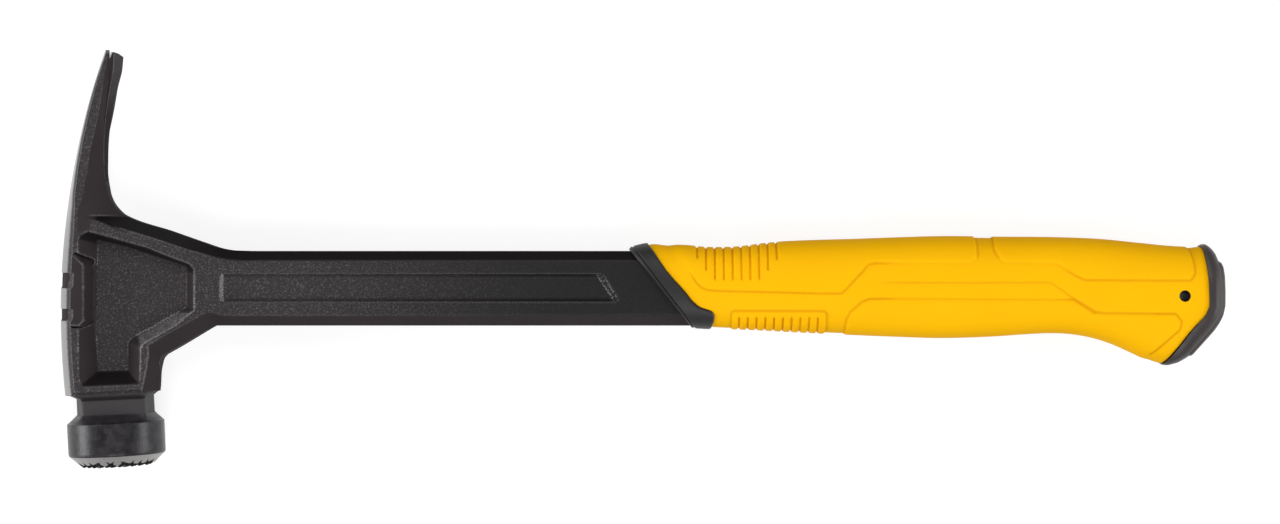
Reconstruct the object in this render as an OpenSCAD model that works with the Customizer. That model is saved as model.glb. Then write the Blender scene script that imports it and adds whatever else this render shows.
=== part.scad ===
// One-piece framing hammer with a straight rip claw, lying on its side.
// X runs from the crown of the head to the butt, Y from the striking face to the claw tips, Z is up.
// The origin is under the middle of the hammer, at the height of the surface it lies on.

/* [Overall] */
// Length from the crown of the head to the end of the butt cap
overall_length = 406; // [360:1:440]
// Height from the claw tips to the tips of the face teeth
head_height = 145.2; // [138:0.2:156]

/* [Head] */
// Radius of the long arc along the outside of head and claw
crown_arc_r = 265; // [220:5:400]
// Height of the outermost point of that arc above the tooth tips
crown_height = 54.6; // [46:0.2:62]
// Thickness across the two cheeks
head_t = 25; // [23:0.5:28]
// Width from the crown to the wall on the handle side
head_w = 35; // [33:0.5:38]
// Radius of the crowned top across the head
crown_r = 17; // [15:0.5:24]
// Width of the bevel between crown and cheek
crown_bevel = 1.9; // [0.8:0.1:2.5]
// Distance from the crown to where the gusset runs out on the shank
gusset_reach = 58; // [54:0.5:66]
// Height of the gusset above the shank at the root of the claw
gusset_rise = 15.3; // [12:0.1:18]
// Depth of the gusset below the shank at the handle-side wall
gusset_drop = 11; // [8:0.1:13]
// Bevel along the edges of gusset and handle-side wall
gusset_bevel = 2.4; // [1:0.1:3]

/* [Claw] */
// Width across the claw tips
claw_tip_w = 29; // [26:0.5:34]
// Thickness of the claw at its root
claw_root_t = 9; // [8:0.1:11]
// Thickness of the claw where its tip bevel starts
claw_neck_t = 5.2; // [4.6:0.1:6]
// Thickness of the claw at the very tip
claw_tip_t = 3.2; // [3:0.1:4]
// Length of the chisel bevel on the underside of the tips
claw_bevel_len = 6; // [3:0.5:10]
// Radius of the crowned top across the claw tips
claw_crown_r = 42; // [30:1:60]
// Fillet between claw and gusset
claw_fillet_r = 12; // [6:0.5:16]
// Width of the nail slot at its mouth
slot_mouth = 7.5; // [6:0.1:9]
// Width of the nail slot at its blind end
slot_end = 1.6; // [1:0.1:3]
// Length of the nail slot
slot_len = 46; // [36:0.5:50]

/* [Cheek pockets] */
// Depth of the pocket in each cheek
pocket_depth = 7.5; // [5:0.1:9]
// Run of the pocket's drafted walls
pocket_draft = 4.3; // [2:0.1:5]
// Corner radius of the pocket's rim
pocket_rim_r = 2.6; // [1:0.1:4]
// Corner radius of the pocket's floor
pocket_floor_r = 1.6; // [0.8:0.1:3]

/* [Nail starter] */
// Diameter of the magnet
magnet_d = 6; // [5:0.1:7]
// Length of the magnet
magnet_len = 5; // [3:0.1:6]
// Radius of the groove that the nail lies in
groove_r = 2.4; // [1.5:0.1:3]
// Depth of the groove under the crown
groove_depth = 1.2; // [0.5:0.1:1.8]
// Depth of the two nail-head seats
seat_depth = 0.9; // [0.4:0.1:1.5]
// Length of the seat next to the claw
upper_seat_len = 5.6; // [4:0.1:6]
// Length of the seat next to the face
lower_seat_len = 4.4; // [3:0.1:6]
// Distance from shoulder to shoulder of the two seats
seat_pitch = 12.5; // [11:0.1:14]
// Height of the bosses on the cheeks behind the seats
boss_len = 24.7; // [20:0.1:28]
// Width of those bosses
boss_w = 5.4; // [4:0.1:7]
// Distance from the crown to those bosses
boss_setback = 4.6; // [4:0.1:6]
// Height of those bosses above the cheek
boss_proud = 0.4; // [0.2:0.1:0.8]

/* [Neck and bell] */
// Distance from the crown to the axis of the bell
bell_setback = 18.9; // [17.5:0.1:20]
// Diameter of the bell
bell_d = 33.5; // [31:0.1:36]
// Length of the bell's round rim
bell_len = 9.5; // [7:0.1:12]
// Length of the shoulder between neck and bell
shoulder_len = 4.3; // [2.5:0.1:6]
// Width of the neck between crown side and handle side
neck_w = 27; // [24:0.1:28]
// Thickness of the neck across the cheeks
neck_t = 24; // [21:0.1:24.8]
// Bevel on the neck's four corners
neck_bevel = 2.6; // [1.5:0.1:4]
// Length of the neck
neck_len = 6.5; // [4:0.1:9]
// Diameter of the milled face
face_d = 24; // [22:0.1:28]
// Length of the bevel between bell and face
face_bevel_len = 3.9; // [2:0.1:5]
// Height of the milled teeth
tooth_h = 1.7; // [1:0.1:2.5]
// Spacing of the milled teeth
tooth_pitch = 3.4; // [2.8:0.1:4.5]
// Width of the flat on each tooth
tooth_flat = 0.6; // [0.3:0.1:1.2]

/* [Shank and tang] */
// Height of the shank's centre line above the tooth tips
shank_rise = 62.5; // [59:0.1:66]
// Height of the shank
shank_h = 26; // [24:0.1:27]
// Thickness of the shank
shank_t = 13.6; // [12:0.1:15]
// Bevel along the shank's four edges
shank_bevel = 3.6; // [2:0.1:5]
// Depth of the long recess in each side of the shank
recess_depth = 1.3; // [0.5:0.1:2]
// Height of that recess
recess_h = 9.7; // [7:0.1:12]
// Height of the tang inside the grip
tang_h = 17; // [13:0.1:18]
// Thickness of the tang
tang_t = 7; // [5:0.1:8]
// Diameter of the holes that lock the grip core to the tang
lock_hole_d = 7; // [5:0.1:9]
// Number of those holes
lock_holes = 3; // [2:1:4]

/* [Grip] */
// Length of the handle covering, collar and cap included
grip_length = 207; // [200:1:214]
// Greatest height of the grip over its straight part
grip_height = 35.6; // [34.6:0.1:38]
// Greatest thickness of the grip
grip_t = 27; // [25:0.1:31]
// Length of the grip core beyond the end of the tang
core_nose = 3; // [2:0.1:20]
// Wall of the soft sleeve over the core
sleeve_wall = 3.2; // [2:0.1:3.6]
// Width of the slanted front collar along the shank
collar_w = 7.8; // [5:0.1:10]
// Reach of the collar's foot behind its slanted band
collar_foot = 4.6; // [3:0.1:5]
// Thickness of the butt cap
cap_t = 5.4; // [4:0.1:7]
// Diameter of the spigot that holds the butt cap
spigot_d = 8; // [5:0.1:9]
// Length of that spigot
spigot_len = 5; // [3:0.1:6]

/* [Tether hole] */
// Diameter of the hole through the bush
tether_d = 3.8; // [3:0.1:5]
// Wall of the bush
bush_wall = 1; // [0.6:0.1:1.4]
// Length of the bush
bush_len = 24; // [22:0.1:24.6]
// Distance from the end of the butt to the hole
tether_setback = 16.2; // [15:0.1:17.2]

/* [Hidden] */

// Overrun of every cut past the face it opens on
overrun = 4;
// Running clearance of the magnet in its bore
magnet_clearance = 0.05;
// Straight steps in each rounded corner
arc_steps = 6;
// Steps across the crown
crown_steps = 10;
// Rows along the claw
claw_rows = 8;
// Points around a section of the grip, and the power of its rounded oval
grip_points = 32;
grip_power = 2.5;

// Places on the centre plane
crown_x = -overall_length / 2;
butt_x = overall_length / 2;
tip_y = head_height / 2;
tooth_y = -head_height / 2;
lie_z = bell_d / 2;
arc_x = crown_x + crown_arc_r;
arc_y = tooth_y + crown_height;
bell_x = crown_x + bell_setback;
face_y = tooth_y + tooth_h;
bell_y = face_y + face_bevel_len;
shoulder_y = bell_y + bell_len;
neck_y = shoulder_y + shoulder_len;
head_y = neck_y + neck_len;
shank_y = tooth_y + shank_rise;
shank_top = shank_y + shank_h / 2;
shank_low = shank_y - shank_h / 2;
wall_x = crown_x + head_w;
gusset_x = crown_x + gusset_reach;
root_y = shank_top + gusset_rise;
bevel_y = tip_y - claw_bevel_len;
grip_x = butt_x - grip_length;
bush_d = tether_d + 2 * bush_wall;
tether_x = butt_x - tether_setback;

// Share of the tooth height that the milled grooves reach
tooth_cut_share = 0.9;
// Share of the head's half width that the ground crown takes
strip_share = 0.88;
// Share of the crown bevel that is left at the claw tips
tip_bevel_share = 0.25;
// Share of the gusset where its cheeks start to thin down to the shank
thinning_share = 0.74;
// Share of the shank's half thickness at which the gusset dives under its surface
dive_share = 0.92;
// Corners of the pocket's rim, as shares of the gusset's reach and of the head's body height
pocket_shares = [
  [0.145, 0.87], [0.225, 0.87], [0.833, 0.692], [0.833, 0.455], [0.507, 0.263], [0.507, 0.06], [0.145, 0.06]
];
body_h = root_y - head_y;

// Middle of the two nail-head seats and of the magnet between them, above the head's lower end
starter_share = 0.52;
starter_y = head_y + starter_share * body_h;
upper_shoulder_y = starter_y + seat_pitch * 2 / 3;
lower_shoulder_y = upper_shoulder_y - seat_pitch;
magnet_y = (upper_shoulder_y - upper_seat_len + lower_shoulder_y) / 2;
boss_y = upper_shoulder_y + (boss_len - seat_pitch - lower_seat_len) / 2;

// Long recess in the shank: margins to the gusset and the collar, and the lean of its rear end
recess_start_x = gusset_x - recess_h / 6;
recess_end_x = grip_x - recess_h * 2 / 3;
recess_lean = recess_h * 2 / 3;

// Sections of the grip: place along it, top and bottom above the shank's centre line, half thickness,
// as shares of the grip's length, height and thickness
grip_shares = [
  [0, 0.402, -0.38, 0.36],
  [0.03, 0.452, -0.382, 0.372],
  [0.07, 0.424, -0.384, 0.385],
  [0.15, 0.404, -0.396, 0.407],
  [0.216, 0.436, -0.413, 0.444],
  [0.31, 0.474, -0.441, 0.481],
  [0.44, 0.497, -0.475, 0.5],
  [0.52, 0.511, -0.489, 0.5],
  [0.62, 0.506, -0.469, 0.493],
  [0.707, 0.503, -0.438, 0.481],
  [0.774, 0.486, -0.483, 0.478],
  [0.822, 0.463, -0.581, 0.478],
  [0.875, 0.433, -0.719, 0.481],
  [0.904, 0.416, -0.761, 0.485],
  [0.936, 0.406, -0.69, 0.485],
  [0.964, 0.44, -0.511, 0.478],
  [0.985, 0.346, -0.377, 0.444],
  [0.995, 0.24, -0.292, 0.4],
  [1, 0.12, -0.18, 0.333]
];

// Front collar: both edges lean back by this share of their height
collar_lean_share = 0.755;
collar_knee_share = 0.76;
// The full shank ends under the back of the collar's foot
shank_end_x = collar_front(shank_low) + collar_w + collar_foot;
// The core stops a wall short of the tether hole, and the tang stops inside the core
core_end_x = tether_x - bush_d / 2 - sleeve_wall;
tang_len = core_end_x - core_nose - shank_end_x;

// Inner edge of the butt cap, from the top to the foot, as shares of the grip's height
// measured forward of the cap's inner face and above the shank's centre line
cap_shares = [[0.13, 0.7, 0], [0, 0.2, 0.17], [0, -0.235, 0.22], [0.62, -0.9, 0]];
cap_face_x = butt_x - cap_t;
spigot_share = 0.04;
spigot_y = shank_y + spigot_share * grip_height;
tether_share = 0.073;
tether_y = shank_y - tether_share * grip_height;

// A vector of length one
function unit(v) = v / norm(v);

// A rounded corner at b on the way from a to c, where b is [x, y, radius]
function corner(a, b, c) =
  b[2] == 0 ? [[b.x, b.y]] :
  let (
    here = [b.x, b.y],
    to_a = unit([a.x, a.y] - here),
    to_c = unit([c.x, c.y] - here),
    half = acos(to_a * to_c) / 2,
    centre = here + unit(to_a + to_c) * b[2] / sin(half),
    first = here + to_a * b[2] / tan(half) - centre,
    last = here + to_c * b[2] / tan(half) - centre,
    start = atan2(first.y, first.x),
    sweep = (atan2(last.y, last.x) - start + 540) % 360 - 180
  )
  [for (k = [0 : arc_steps]) centre + b[2] * [cos(start + sweep * k / arc_steps), sin(start + sweep * k / arc_steps)]];

// A closed outline with rounded corners
function rounded(points) = [
  for (i = [0 : len(points) - 1])
    each corner(points[(i + len(points) - 1) % len(points)], points[i], points[(i + 1) % len(points)])
];

// An open line with rounded inner corners
function rounded_line(points) = [
  for (i = [0 : len(points) - 1])
    each i == 0 || i == len(points) - 1
      ? [[points[i].x, points[i].y]]
      : corner(points[i - 1], points[i], points[i + 1])
];

// A clockwise closed outline with all its sides moved inwards by d
function inset(points, d) = [
  for (i = [0 : len(points) - 1])
    let (
      here = points[i],
      before = unit(here - points[(i + len(points) - 1) % len(points)]),
      after = unit(points[(i + 1) % len(points)] - here),
      turn = 1 + before * after
    )
    here + d * ([before.y, -before.x] + [after.y, -after.x]) / turn
];

// The same outline with one corner radius everywhere
function with_radius(points, r) = [for (p = points) [p.x, p.y, r]];

// A list from its end to its start
function reversed(list) = [for (i = [len(list) - 1 : -1 : 0]) list[i]];

// Triangles across the first of several rings, between each point and its mirror image
function strip_cap(n) = [
  for (i = [0 : ceil(n / 2) - 2])
    each concat([[i, i + 1, n - 1 - i]], i + 1 < n - 2 - i ? [[i + 1, n - 2 - i, n - 1 - i]] : [])
];

// Faces of a closed skin over rings of n points each, with its ends triangulated if they are mirrored
function skin_faces(rings, n, mirrored) =
  let (cap = mirrored ? strip_cap(n) : [[for (k = [0 : n - 1]) k]])
  concat(
    cap,
    [
      for (i = [0 : rings - 2], k = [0 : n - 1])
        let (a = i * n + k, b = i * n + (k + 1) % n)
        each [[a, a + n, b], [b, a + n, b + n]]
    ],
    [for (face = cap) [for (k = reversed(face)) (rings - 1) * n + k]]
  );

// A closed solid through a list of rings that all have as many points, each anticlockwise seen from the last
module skin(rings, mirrored = false) {
  faces = skin_faces(len(rings), len(rings[0]), mirrored);
  polyhedron([for (ring = rings) each ring], faces, convexity = 6);
}

// Head and claw

// Outside of head and claw at height y
function arc_edge(y) = arc_x - sqrt(crown_arc_r ^ 2 - (y - arc_y) ^ 2);

// Inside of head, gusset and claw from the head's lower end to the claw tips, as [x, y]
claw_root = [arc_edge(root_y) + claw_root_t, root_y, claw_fillet_r];
claw_neck = [arc_edge(bevel_y) + claw_neck_t, bevel_y, 0];
claw_tip = [arc_edge(tip_y) + claw_tip_t, tip_y, 0];
inner_edge = concat(
  [[wall_x, head_y], [wall_x, shank_low - gusset_drop], [gusset_x, shank_low]],
  [[gusset_x, arc_y], [gusset_x, shank_y], [gusset_x, shank_top]],
  corner([gusset_x, shank_top], claw_root, claw_neck),
  [for (k = [1 : claw_rows]) (claw_root + (claw_neck - claw_root) * (0.5 + k / claw_rows / 2))],
  [claw_tip]
);

// Half width, crown radius and bevel at height y
function half_width(y) = lookup(y, [[root_y, head_t / 2], [tip_y, claw_tip_w / 2]]);
function crown_radius(y) = lookup(y, [[root_y, crown_r], [tip_y, claw_crown_r]]);
function bevel_width(y) = lookup(y, [[root_y, crown_bevel], [tip_y, crown_bevel * tip_bevel_share]]);
// Half thickness of the cheeks at place x: the gusset thins down and dives into the shank
function cheek(x, y) = min(
  half_width(y),
  lookup(x, [[crown_x + thinning_share * gusset_reach, head_t / 2], [gusset_x, dive_share * shank_t / 2]])
);
// Room for the edge bevel at height y: none on the claw
function edge_bevel(y) = lookup(y, [[shank_top, gusset_bevel], [root_y, crown_bevel * tip_bevel_share]]);

// Section of head and claw at height y with its inside at x: one cheek, across the crown, the other cheek
function head_row(x, y, sunk) =
  let (
    half = half_width(y),
    r = crown_radius(y),
    strip = strip_share * half,
    across = [for (k = [0 : crown_steps]) strip * (2 * k / crown_steps - 1)],
    edge = arc_edge(y) + sunk,
    lip = edge + r - sqrt(r ^ 2 - strip ^ 2) + bevel_width(y),
    bevel = min(edge_bevel(y), (x - lip) / 2),
    thin = min(crown_x + thinning_share * gusset_reach, (lip + x - bevel) / 2)
  )
  concat(
    [[x, y, bevel - cheek(x, y)], [x - bevel, y, -cheek(x - bevel, y)], [thin, y, -half], [lip, y, -half]],
    [for (w = across) [edge + r - sqrt(r ^ 2 - w ^ 2), y, w]],
    [[lip, y, half], [thin, y, half], [x - bevel, y, cheek(x - bevel, y)], [x, y, cheek(x, y) - bevel]]
  );

// Head, gusset and claw without their cuts, with the crown sunk by a given depth
module head_blank(sunk = 0) {
  skin([for (p = inner_edge) head_row(p.x, p.y, sunk)], mirrored = true);
}

pocket_rim = [for (s = pocket_shares) [crown_x + s.x * gusset_reach, head_y + s.y * body_h]];

// Drafted pocket of one cheek
module cheek_pocket() {
  floor_z = head_t / 2 - pocket_depth;
  flare_share = 1 + overrun / pocket_depth;
  rim = rounded(with_radius(inset(pocket_rim, pocket_draft - pocket_draft * flare_share), pocket_rim_r));
  floor = rounded(with_radius(inset(pocket_rim, pocket_draft), pocket_floor_r));
  skin([
    [for (p = reversed(floor)) [p.x, p.y, floor_z]],
    [for (p = reversed(rim)) [p.x, p.y, head_t / 2 + overrun]]
  ]);
}

// Raised block on one cheek behind the nail-head seats
module boss() {
  translate([crown_x + boss_setback, boss_y - boss_len, 0])
    cube([boss_w, boss_len, head_t / 2 + boss_proud]);
}

// Outline of a nail-head seat: square shoulder on the claw side, ramp on the face side
module seat_outline(shoulder, length) {
  polygon([
    [crown_x - overrun, shoulder],
    [crown_x + crown_r / 2, shoulder],
    [crown_x + crown_r / 2, shoulder - length],
    [crown_x - overrun, shoulder - length - overrun]
  ]);
}

// Shallow seats across the crown that take the head of a nail
module nail_seats() {
  difference() {
    linear_extrude(head_t + overrun, center = true) {
      seat_outline(upper_shoulder_y, upper_seat_len);
      seat_outline(lower_shoulder_y, lower_seat_len);
    }
    head_blank(seat_depth);
  }
}

// Groove along the crown that the nail lies in, from the upper seat to the neck
module nail_groove() {
  groove_arc = crown_arc_r - groove_depth + groove_r;
  upper = asin((upper_shoulder_y - upper_seat_len / 2 - arc_y) / crown_arc_r);
  lower = asin((neck_y - arc_y) / crown_arc_r);
  translate([arc_x, arc_y, 0])
    rotate([0, 0, 180 - upper])
    rotate_extrude(angle = upper - lower, $fn = 240)
    translate([groove_arc, 0])
    circle(groove_r, $fn = 32);
}

magnet_face_x = arc_edge(magnet_y) + groove_depth;

// Blind hole for the magnet, from the crown inwards
module magnet_bore() {
  translate([magnet_face_x - overrun, magnet_y, 0])
    rotate([0, 90, 0])
    cylinder(h = magnet_len + overrun, d = magnet_d + 2 * magnet_clearance, $fn = 48);
}

// V-shaped slot between the tines of the claw
module claw_slot() {
  end_y = tip_y - slot_len;
  flare = (slot_mouth - slot_end) / 2 / slot_len * overrun;
  translate([crown_x, 0, 0])
    rotate([90, 0, 90])
    linear_extrude(head_w)
    polygon([
      [end_y, -slot_end / 2],
      [tip_y + overrun, -slot_mouth / 2 - flare],
      [tip_y + overrun, slot_mouth / 2 + flare],
      [end_y, slot_end / 2]
    ]);
}

module head() {
  difference() {
    union() {
      difference() {
        head_blank();
        cheek_pocket();
        mirror([0, 0, 1]) cheek_pocket();
        nail_seats();
        claw_slot();
      }
      boss();
      mirror([0, 0, 1]) boss();
    }
    nail_groove();
    magnet_bore();
  }
}

// Neck, bell and milled face

// Section of the neck: a bar with bevelled corners
module neck_section() {
  flat_x = neck_w / 2 - neck_bevel;
  flat_z = neck_t / 2 - neck_bevel;
  polygon([
    [flat_x, neck_t / 2], [neck_w / 2, flat_z], [neck_w / 2, -flat_z], [flat_x, -neck_t / 2],
    [-flat_x, -neck_t / 2], [-neck_w / 2, -flat_z], [-neck_w / 2, flat_z], [-flat_x, neck_t / 2]
  ]);
}

// Neck, run up into the head and down into the bell, where its corners stand out of the shoulder
module neck() {
  bottom_y = shoulder_y - neck_bevel;
  translate([bell_x, bottom_y, 0])
    rotate([-90, 0, 0])
    linear_extrude(head_y + crown_bevel - bottom_y)
    neck_section();
}

// V-grooves that leave the rows of teeth, across one direction of the face
module tooth_cuts() {
  cuts = floor(face_d / tooth_pitch / 2) + 1;
  depth = tooth_cut_share * tooth_h;
  half = (tooth_pitch - tooth_flat) / 2;
  for (i = [-cuts : cuts])
    translate([(i + 0.5) * tooth_pitch, 0, 0])
      rotate([90, 0, 0])
      linear_extrude(bell_d, center = true)
      polygon([[0, depth], [-half * 2, -depth], [half * 2, -depth]]);
}

// Bell with its bevel, and the milled face at its end
module bell() {
  translate([bell_x, tooth_y, 0])
    rotate([-90, 0, 0])
    difference() {
      rotate_extrude($fn = 96)
        polygon([
          [0, 0],
          [face_d / 2, 0],
          [face_d / 2, tooth_h],
          [bell_d / 2, tooth_h + face_bevel_len],
          [bell_d / 2, shoulder_y - tooth_y],
          [neck_t / 2 - neck_bevel, neck_y - tooth_y],
          [0, neck_y - tooth_y]
        ]);
      tooth_cuts();
      rotate([0, 0, 90]) tooth_cuts();
    }
}

// Shank and tang

// Section of the shank: a flat bar with bevelled edges
module shank_section() {
  polygon([
    [shank_h / 2, shank_t / 2 - shank_bevel], [shank_h / 2 - shank_bevel, shank_t / 2],
    [shank_bevel - shank_h / 2, shank_t / 2], [-shank_h / 2, shank_t / 2 - shank_bevel],
    [-shank_h / 2, shank_bevel - shank_t / 2], [shank_bevel - shank_h / 2, -shank_t / 2],
    [shank_h / 2 - shank_bevel, -shank_t / 2], [shank_h / 2, shank_bevel - shank_t / 2]
  ]);
}

module shank_bar() {
  start_x = gusset_x - gusset_bevel;
  translate([start_x, shank_y, 0])
    rotate([90, 0, 90])
    linear_extrude(shank_end_x - start_x)
    shank_section();
}

// Long shallow recess in one side of the shank
module shank_recess() {
  half = recess_h / 2;
  translate([0, shank_y, shank_t / 2 - recess_depth])
    linear_extrude(overrun)
    polygon(rounded([
      [recess_start_x, -half, recess_depth],
      [recess_end_x + recess_lean, -half, recess_depth],
      [recess_end_x, half, recess_depth],
      [recess_start_x, half, recess_depth]
    ]));
}

// Flat tang inside the grip, with the holes that the core fills
module tang() {
  difference() {
    translate([shank_end_x - overrun, shank_y - tang_h / 2, -tang_t / 2])
      cube([tang_len + overrun, tang_h, tang_t]);
    for (i = [1 : lock_holes])
      translate([shank_end_x + tang_len * i / (lock_holes + 1), shank_y, 0])
        cylinder(h = tang_t + overrun, d = lock_hole_d, center = true, $fn = 48);
  }
}

// Grip

// Front edge of the collar at height y
function collar_front(y) = grip_x + (shank_top - y) * collar_lean_share;

// Section of the grip, drawn in by a wall: a rounded oval
function grip_ring(s, wall) =
  let (
    x = grip_x + s[0] * grip_length,
    y = shank_y + grip_height * (s[1] + s[2]) / 2,
    a = grip_height * (s[1] - s[2]) / 2 - wall,
    b = grip_t * s[3] - wall
  )
  [
    for (k = [0 : grip_points - 1])
      let (c = cos(360 * k / grip_points), d = sin(360 * k / grip_points))
      [x, y + a * sign(c) * abs(c) ^ (2 / grip_power), b * sign(d) * abs(d) ^ (2 / grip_power)]
  ];

// Section of the grip at place x, between the two nearest of its sections
function grip_share_at(x) =
  let (s = (x - grip_x) / grip_length)
  [s, for (k = [1 : 3]) lookup(s, [for (row = grip_shares) [row[0], row[k]]])];

// The grip from one place to another, drawn in by a wall
module grip_form(from_x, to_x, wall) {
  first = (from_x - grip_x) / grip_length;
  last = (to_x - grip_x) / grip_length;
  inner = [for (row = grip_shares) if (row[0] > first && row[0] < last) row];
  skin([
    grip_ring(grip_share_at(from_x), wall),
    for (row = inner) grip_ring(row, wall),
    grip_ring(grip_share_at(to_x), wall)
  ]);
}

module whole_grip() {
  grip_form(grip_x - overrun, butt_x, 0);
}

// Rear edge of the collar from above the grip to below it
grip_over = shank_y + grip_height;
grip_under = shank_y - grip_height;
knee_y = shank_y + grip_shares[0][2] * grip_height * collar_knee_share / 2;
foot_x = collar_front(shank_low) + collar_w;
collar_rear = rounded_line([
  [collar_front(grip_over) + collar_w, grip_over, 0],
  [collar_front(knee_y) + collar_w, knee_y, collar_foot / 2],
  [foot_x + collar_foot / 2, knee_y - collar_foot / 2, collar_foot / 3],
  [foot_x + collar_foot / 2, grip_under, 0]
]);

// Inner edge of the butt cap from above the grip to below it
cap_edge = rounded_line([
  for (s = cap_shares) [cap_face_x - s[0] * grip_height, shank_y + s[1] * grip_height, s[2] * grip_height]
]);

// A slice of the grip under an outline seen from the side
module grip_slice(outline) {
  intersection() {
    whole_grip();
    linear_extrude(2 * grip_t, center = true) polygon(outline);
  }
}

module core_form() {
  grip_form(shank_end_x, core_end_x, sleeve_wall);
}

// Spigot on the inside of the butt cap
module cap_spigot(overlap) {
  translate([cap_face_x - spigot_len, spigot_y, 0])
    rotate([0, 90, 0])
    cylinder(h = spigot_len + overlap, d = spigot_d, $fn = 48);
}

// Sub-parts

module forged_body() {
  color("#3a3638")
    translate([0, 0, lie_z]) {
      head();
      neck();
      bell();
      difference() {
        shank_bar();
        shank_recess();
        mirror([0, 0, 1]) shank_recess();
      }
      tang();
    }
}

module nail_magnet() {
  color("#b4b4b8")
    translate([magnet_face_x, magnet_y, lie_z])
    rotate([0, 90, 0])
    cylinder(h = magnet_len, d = magnet_d, $fn = 48);
}

module grip_core() {
  color("#2b2b2d")
    translate([0, 0, lie_z])
    difference() {
      core_form();
      tang();
    }
}

module grip_sleeve() {
  color("#fdbe04")
    translate([0, 0, lie_z])
    difference() {
      grip_slice(concat(collar_rear, reversed(cap_edge)));
      shank_bar();
      core_form();
      cap_spigot(overrun);
      translate([tether_x, tether_y, 0]) cylinder(h = 2 * grip_t, d = bush_d, center = true, $fn = 48);
    }
}

module front_collar() {
  color("#3e3c3c")
    translate([0, 0, lie_z])
    difference() {
      grip_slice(concat(
        [[collar_front(grip_under), grip_under], [collar_front(grip_over), grip_over]],
        collar_rear
      ));
      shank_bar();
    }
}

module butt_cap() {
  color("#46403f")
    translate([0, 0, lie_z]) {
      grip_slice(concat(
        cap_edge,
        [[butt_x + overrun, grip_under], [butt_x + overrun, grip_over]]
      ));
      cap_spigot(cap_t / 2);
    }
}

module tether_bush() {
  color("#1c1c1e")
    translate([tether_x, tether_y, lie_z])
    difference() {
      cylinder(h = bush_len, d = bush_d, center = true, $fn = 48);
      cylinder(h = bush_len + overrun, d = tether_d, center = true, $fn = 48);
    }
}

forged_body();
nail_magnet();
grip_core();
grip_sleeve();
front_collar();
butt_cap();
tether_bush();
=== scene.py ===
"""Looks of a one-piece framing hammer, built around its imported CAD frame.

Every length in the shape functions is in millimetres on the hammer's middle plane: x from the crown of the head
to the butt, y from the striking face to the claw tips, w out of that plane to either side. A mesh is put into the
row frame, in metres, when its piece is made.
"""

import math

import bmesh
import bpy
import numpy as np
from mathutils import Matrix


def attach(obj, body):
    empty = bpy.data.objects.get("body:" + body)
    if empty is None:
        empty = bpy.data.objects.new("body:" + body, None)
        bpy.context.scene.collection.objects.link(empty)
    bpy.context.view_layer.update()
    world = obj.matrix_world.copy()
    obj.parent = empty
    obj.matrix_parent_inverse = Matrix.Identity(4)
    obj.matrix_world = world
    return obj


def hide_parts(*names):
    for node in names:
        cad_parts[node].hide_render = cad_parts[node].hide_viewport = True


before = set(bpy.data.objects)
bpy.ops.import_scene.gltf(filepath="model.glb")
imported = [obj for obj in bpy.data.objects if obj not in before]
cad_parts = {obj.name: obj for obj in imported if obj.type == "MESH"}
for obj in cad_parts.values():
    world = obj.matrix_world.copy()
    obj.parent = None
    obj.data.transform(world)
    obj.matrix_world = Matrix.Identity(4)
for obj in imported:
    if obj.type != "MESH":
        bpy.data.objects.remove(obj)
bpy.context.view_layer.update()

MM = 0.001
LIE = 16.75  # height of the middle plane over the floor
WELD, SLIVER = 2e-6, 1e-7  # metres


# Curves and heights


def smooth_min(a, b, k):
    """The lower of two heights, with the corner between them rounded over the length k."""
    t = np.clip(0.5 + 0.5 * (b - a) / k, 0, 1)
    return b + (a - b) * t - k * t * (1 - t)


def smooth_max(a, b, k):
    """The higher of two heights, with the corner between them filled over the length k."""
    return -smooth_min(-a, -b, k)


def ease(x, low, high):
    """0 below low, 1 above high, and the S-shaped cubic 3t^2 - 2t^3 between them."""
    t = np.clip((x - low) / (high - low), 0, 1)
    return t * t * (3 - 2 * t)


def window(x, low, rise, fall, high):
    """1 between rise and fall, easing to 0 at low and high."""
    return ease(x, low, rise) * (1 - ease(x, fall, high))


def swell(d, half):
    """A bell-shaped line: e to minus the square of the distance d over half."""
    return np.exp(-(d / half) ** 2)


def mix(a, b, t):
    """a where t is 0, b where it is 1, and evenly between."""
    return a + (b - a) * t


def run_along(points):
    """Length along a line up to each of its points: the sum of its straight pieces."""
    return np.concatenate([[0], np.cumsum(np.linalg.norm(np.diff(points, axis=0), axis=1))])


def flowing(x, knots):
    """A smooth curve through (place, value) knots: cubic pieces whose slopes are the mean of their neighbours'."""
    xs, ys = np.asarray(knots, float).T
    slope = np.gradient(ys, xs)
    i = np.clip(np.searchsorted(xs, x) - 1, 0, len(xs) - 2)
    gap = xs[i + 1] - xs[i]
    t = np.clip((x - xs[i]) / gap, 0, 1)
    rise = (3 - 2 * t) * t * t
    return (
        (1 - rise) * ys[i] + rise * ys[i + 1]
        + gap * (t * (1 - t) ** 2 * slope[i] - t * t * (1 - t) * slope[i + 1])
    )


def straight(x, knots):
    """Straight pieces between (place, value) knots."""
    xs, ys = np.asarray(knots, float).T
    return np.interp(x, xs, ys)


def rounded_corner(a, b, c, r, steps=14):
    """The line through a, b and c with the corner b replaced by its tangent arc of radius r."""
    a, b, c = (np.array(point, float) for point in (a, b, c))
    to_a, to_c = ((end - b) / np.linalg.norm(end - b) for end in (a, c))
    half = math.acos(np.clip(to_a @ to_c, -1, 1)) / 2
    centre = b + (to_a + to_c) / np.linalg.norm(to_a + to_c) * r / math.sin(half)
    first, last = (b + to * r / math.tan(half) - centre for to in (to_a, to_c))
    start = math.atan2(first[1], first[0])
    sweep = (math.atan2(last[1], last[0]) - start + 3 * math.pi) % (2 * math.pi) - math.pi
    turn = start + sweep * np.linspace(0, 1, steps)
    arc = centre + r * np.stack([np.cos(turn), np.sin(turn)], -1)
    return np.concatenate([a[None], arc, c[None]])


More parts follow.
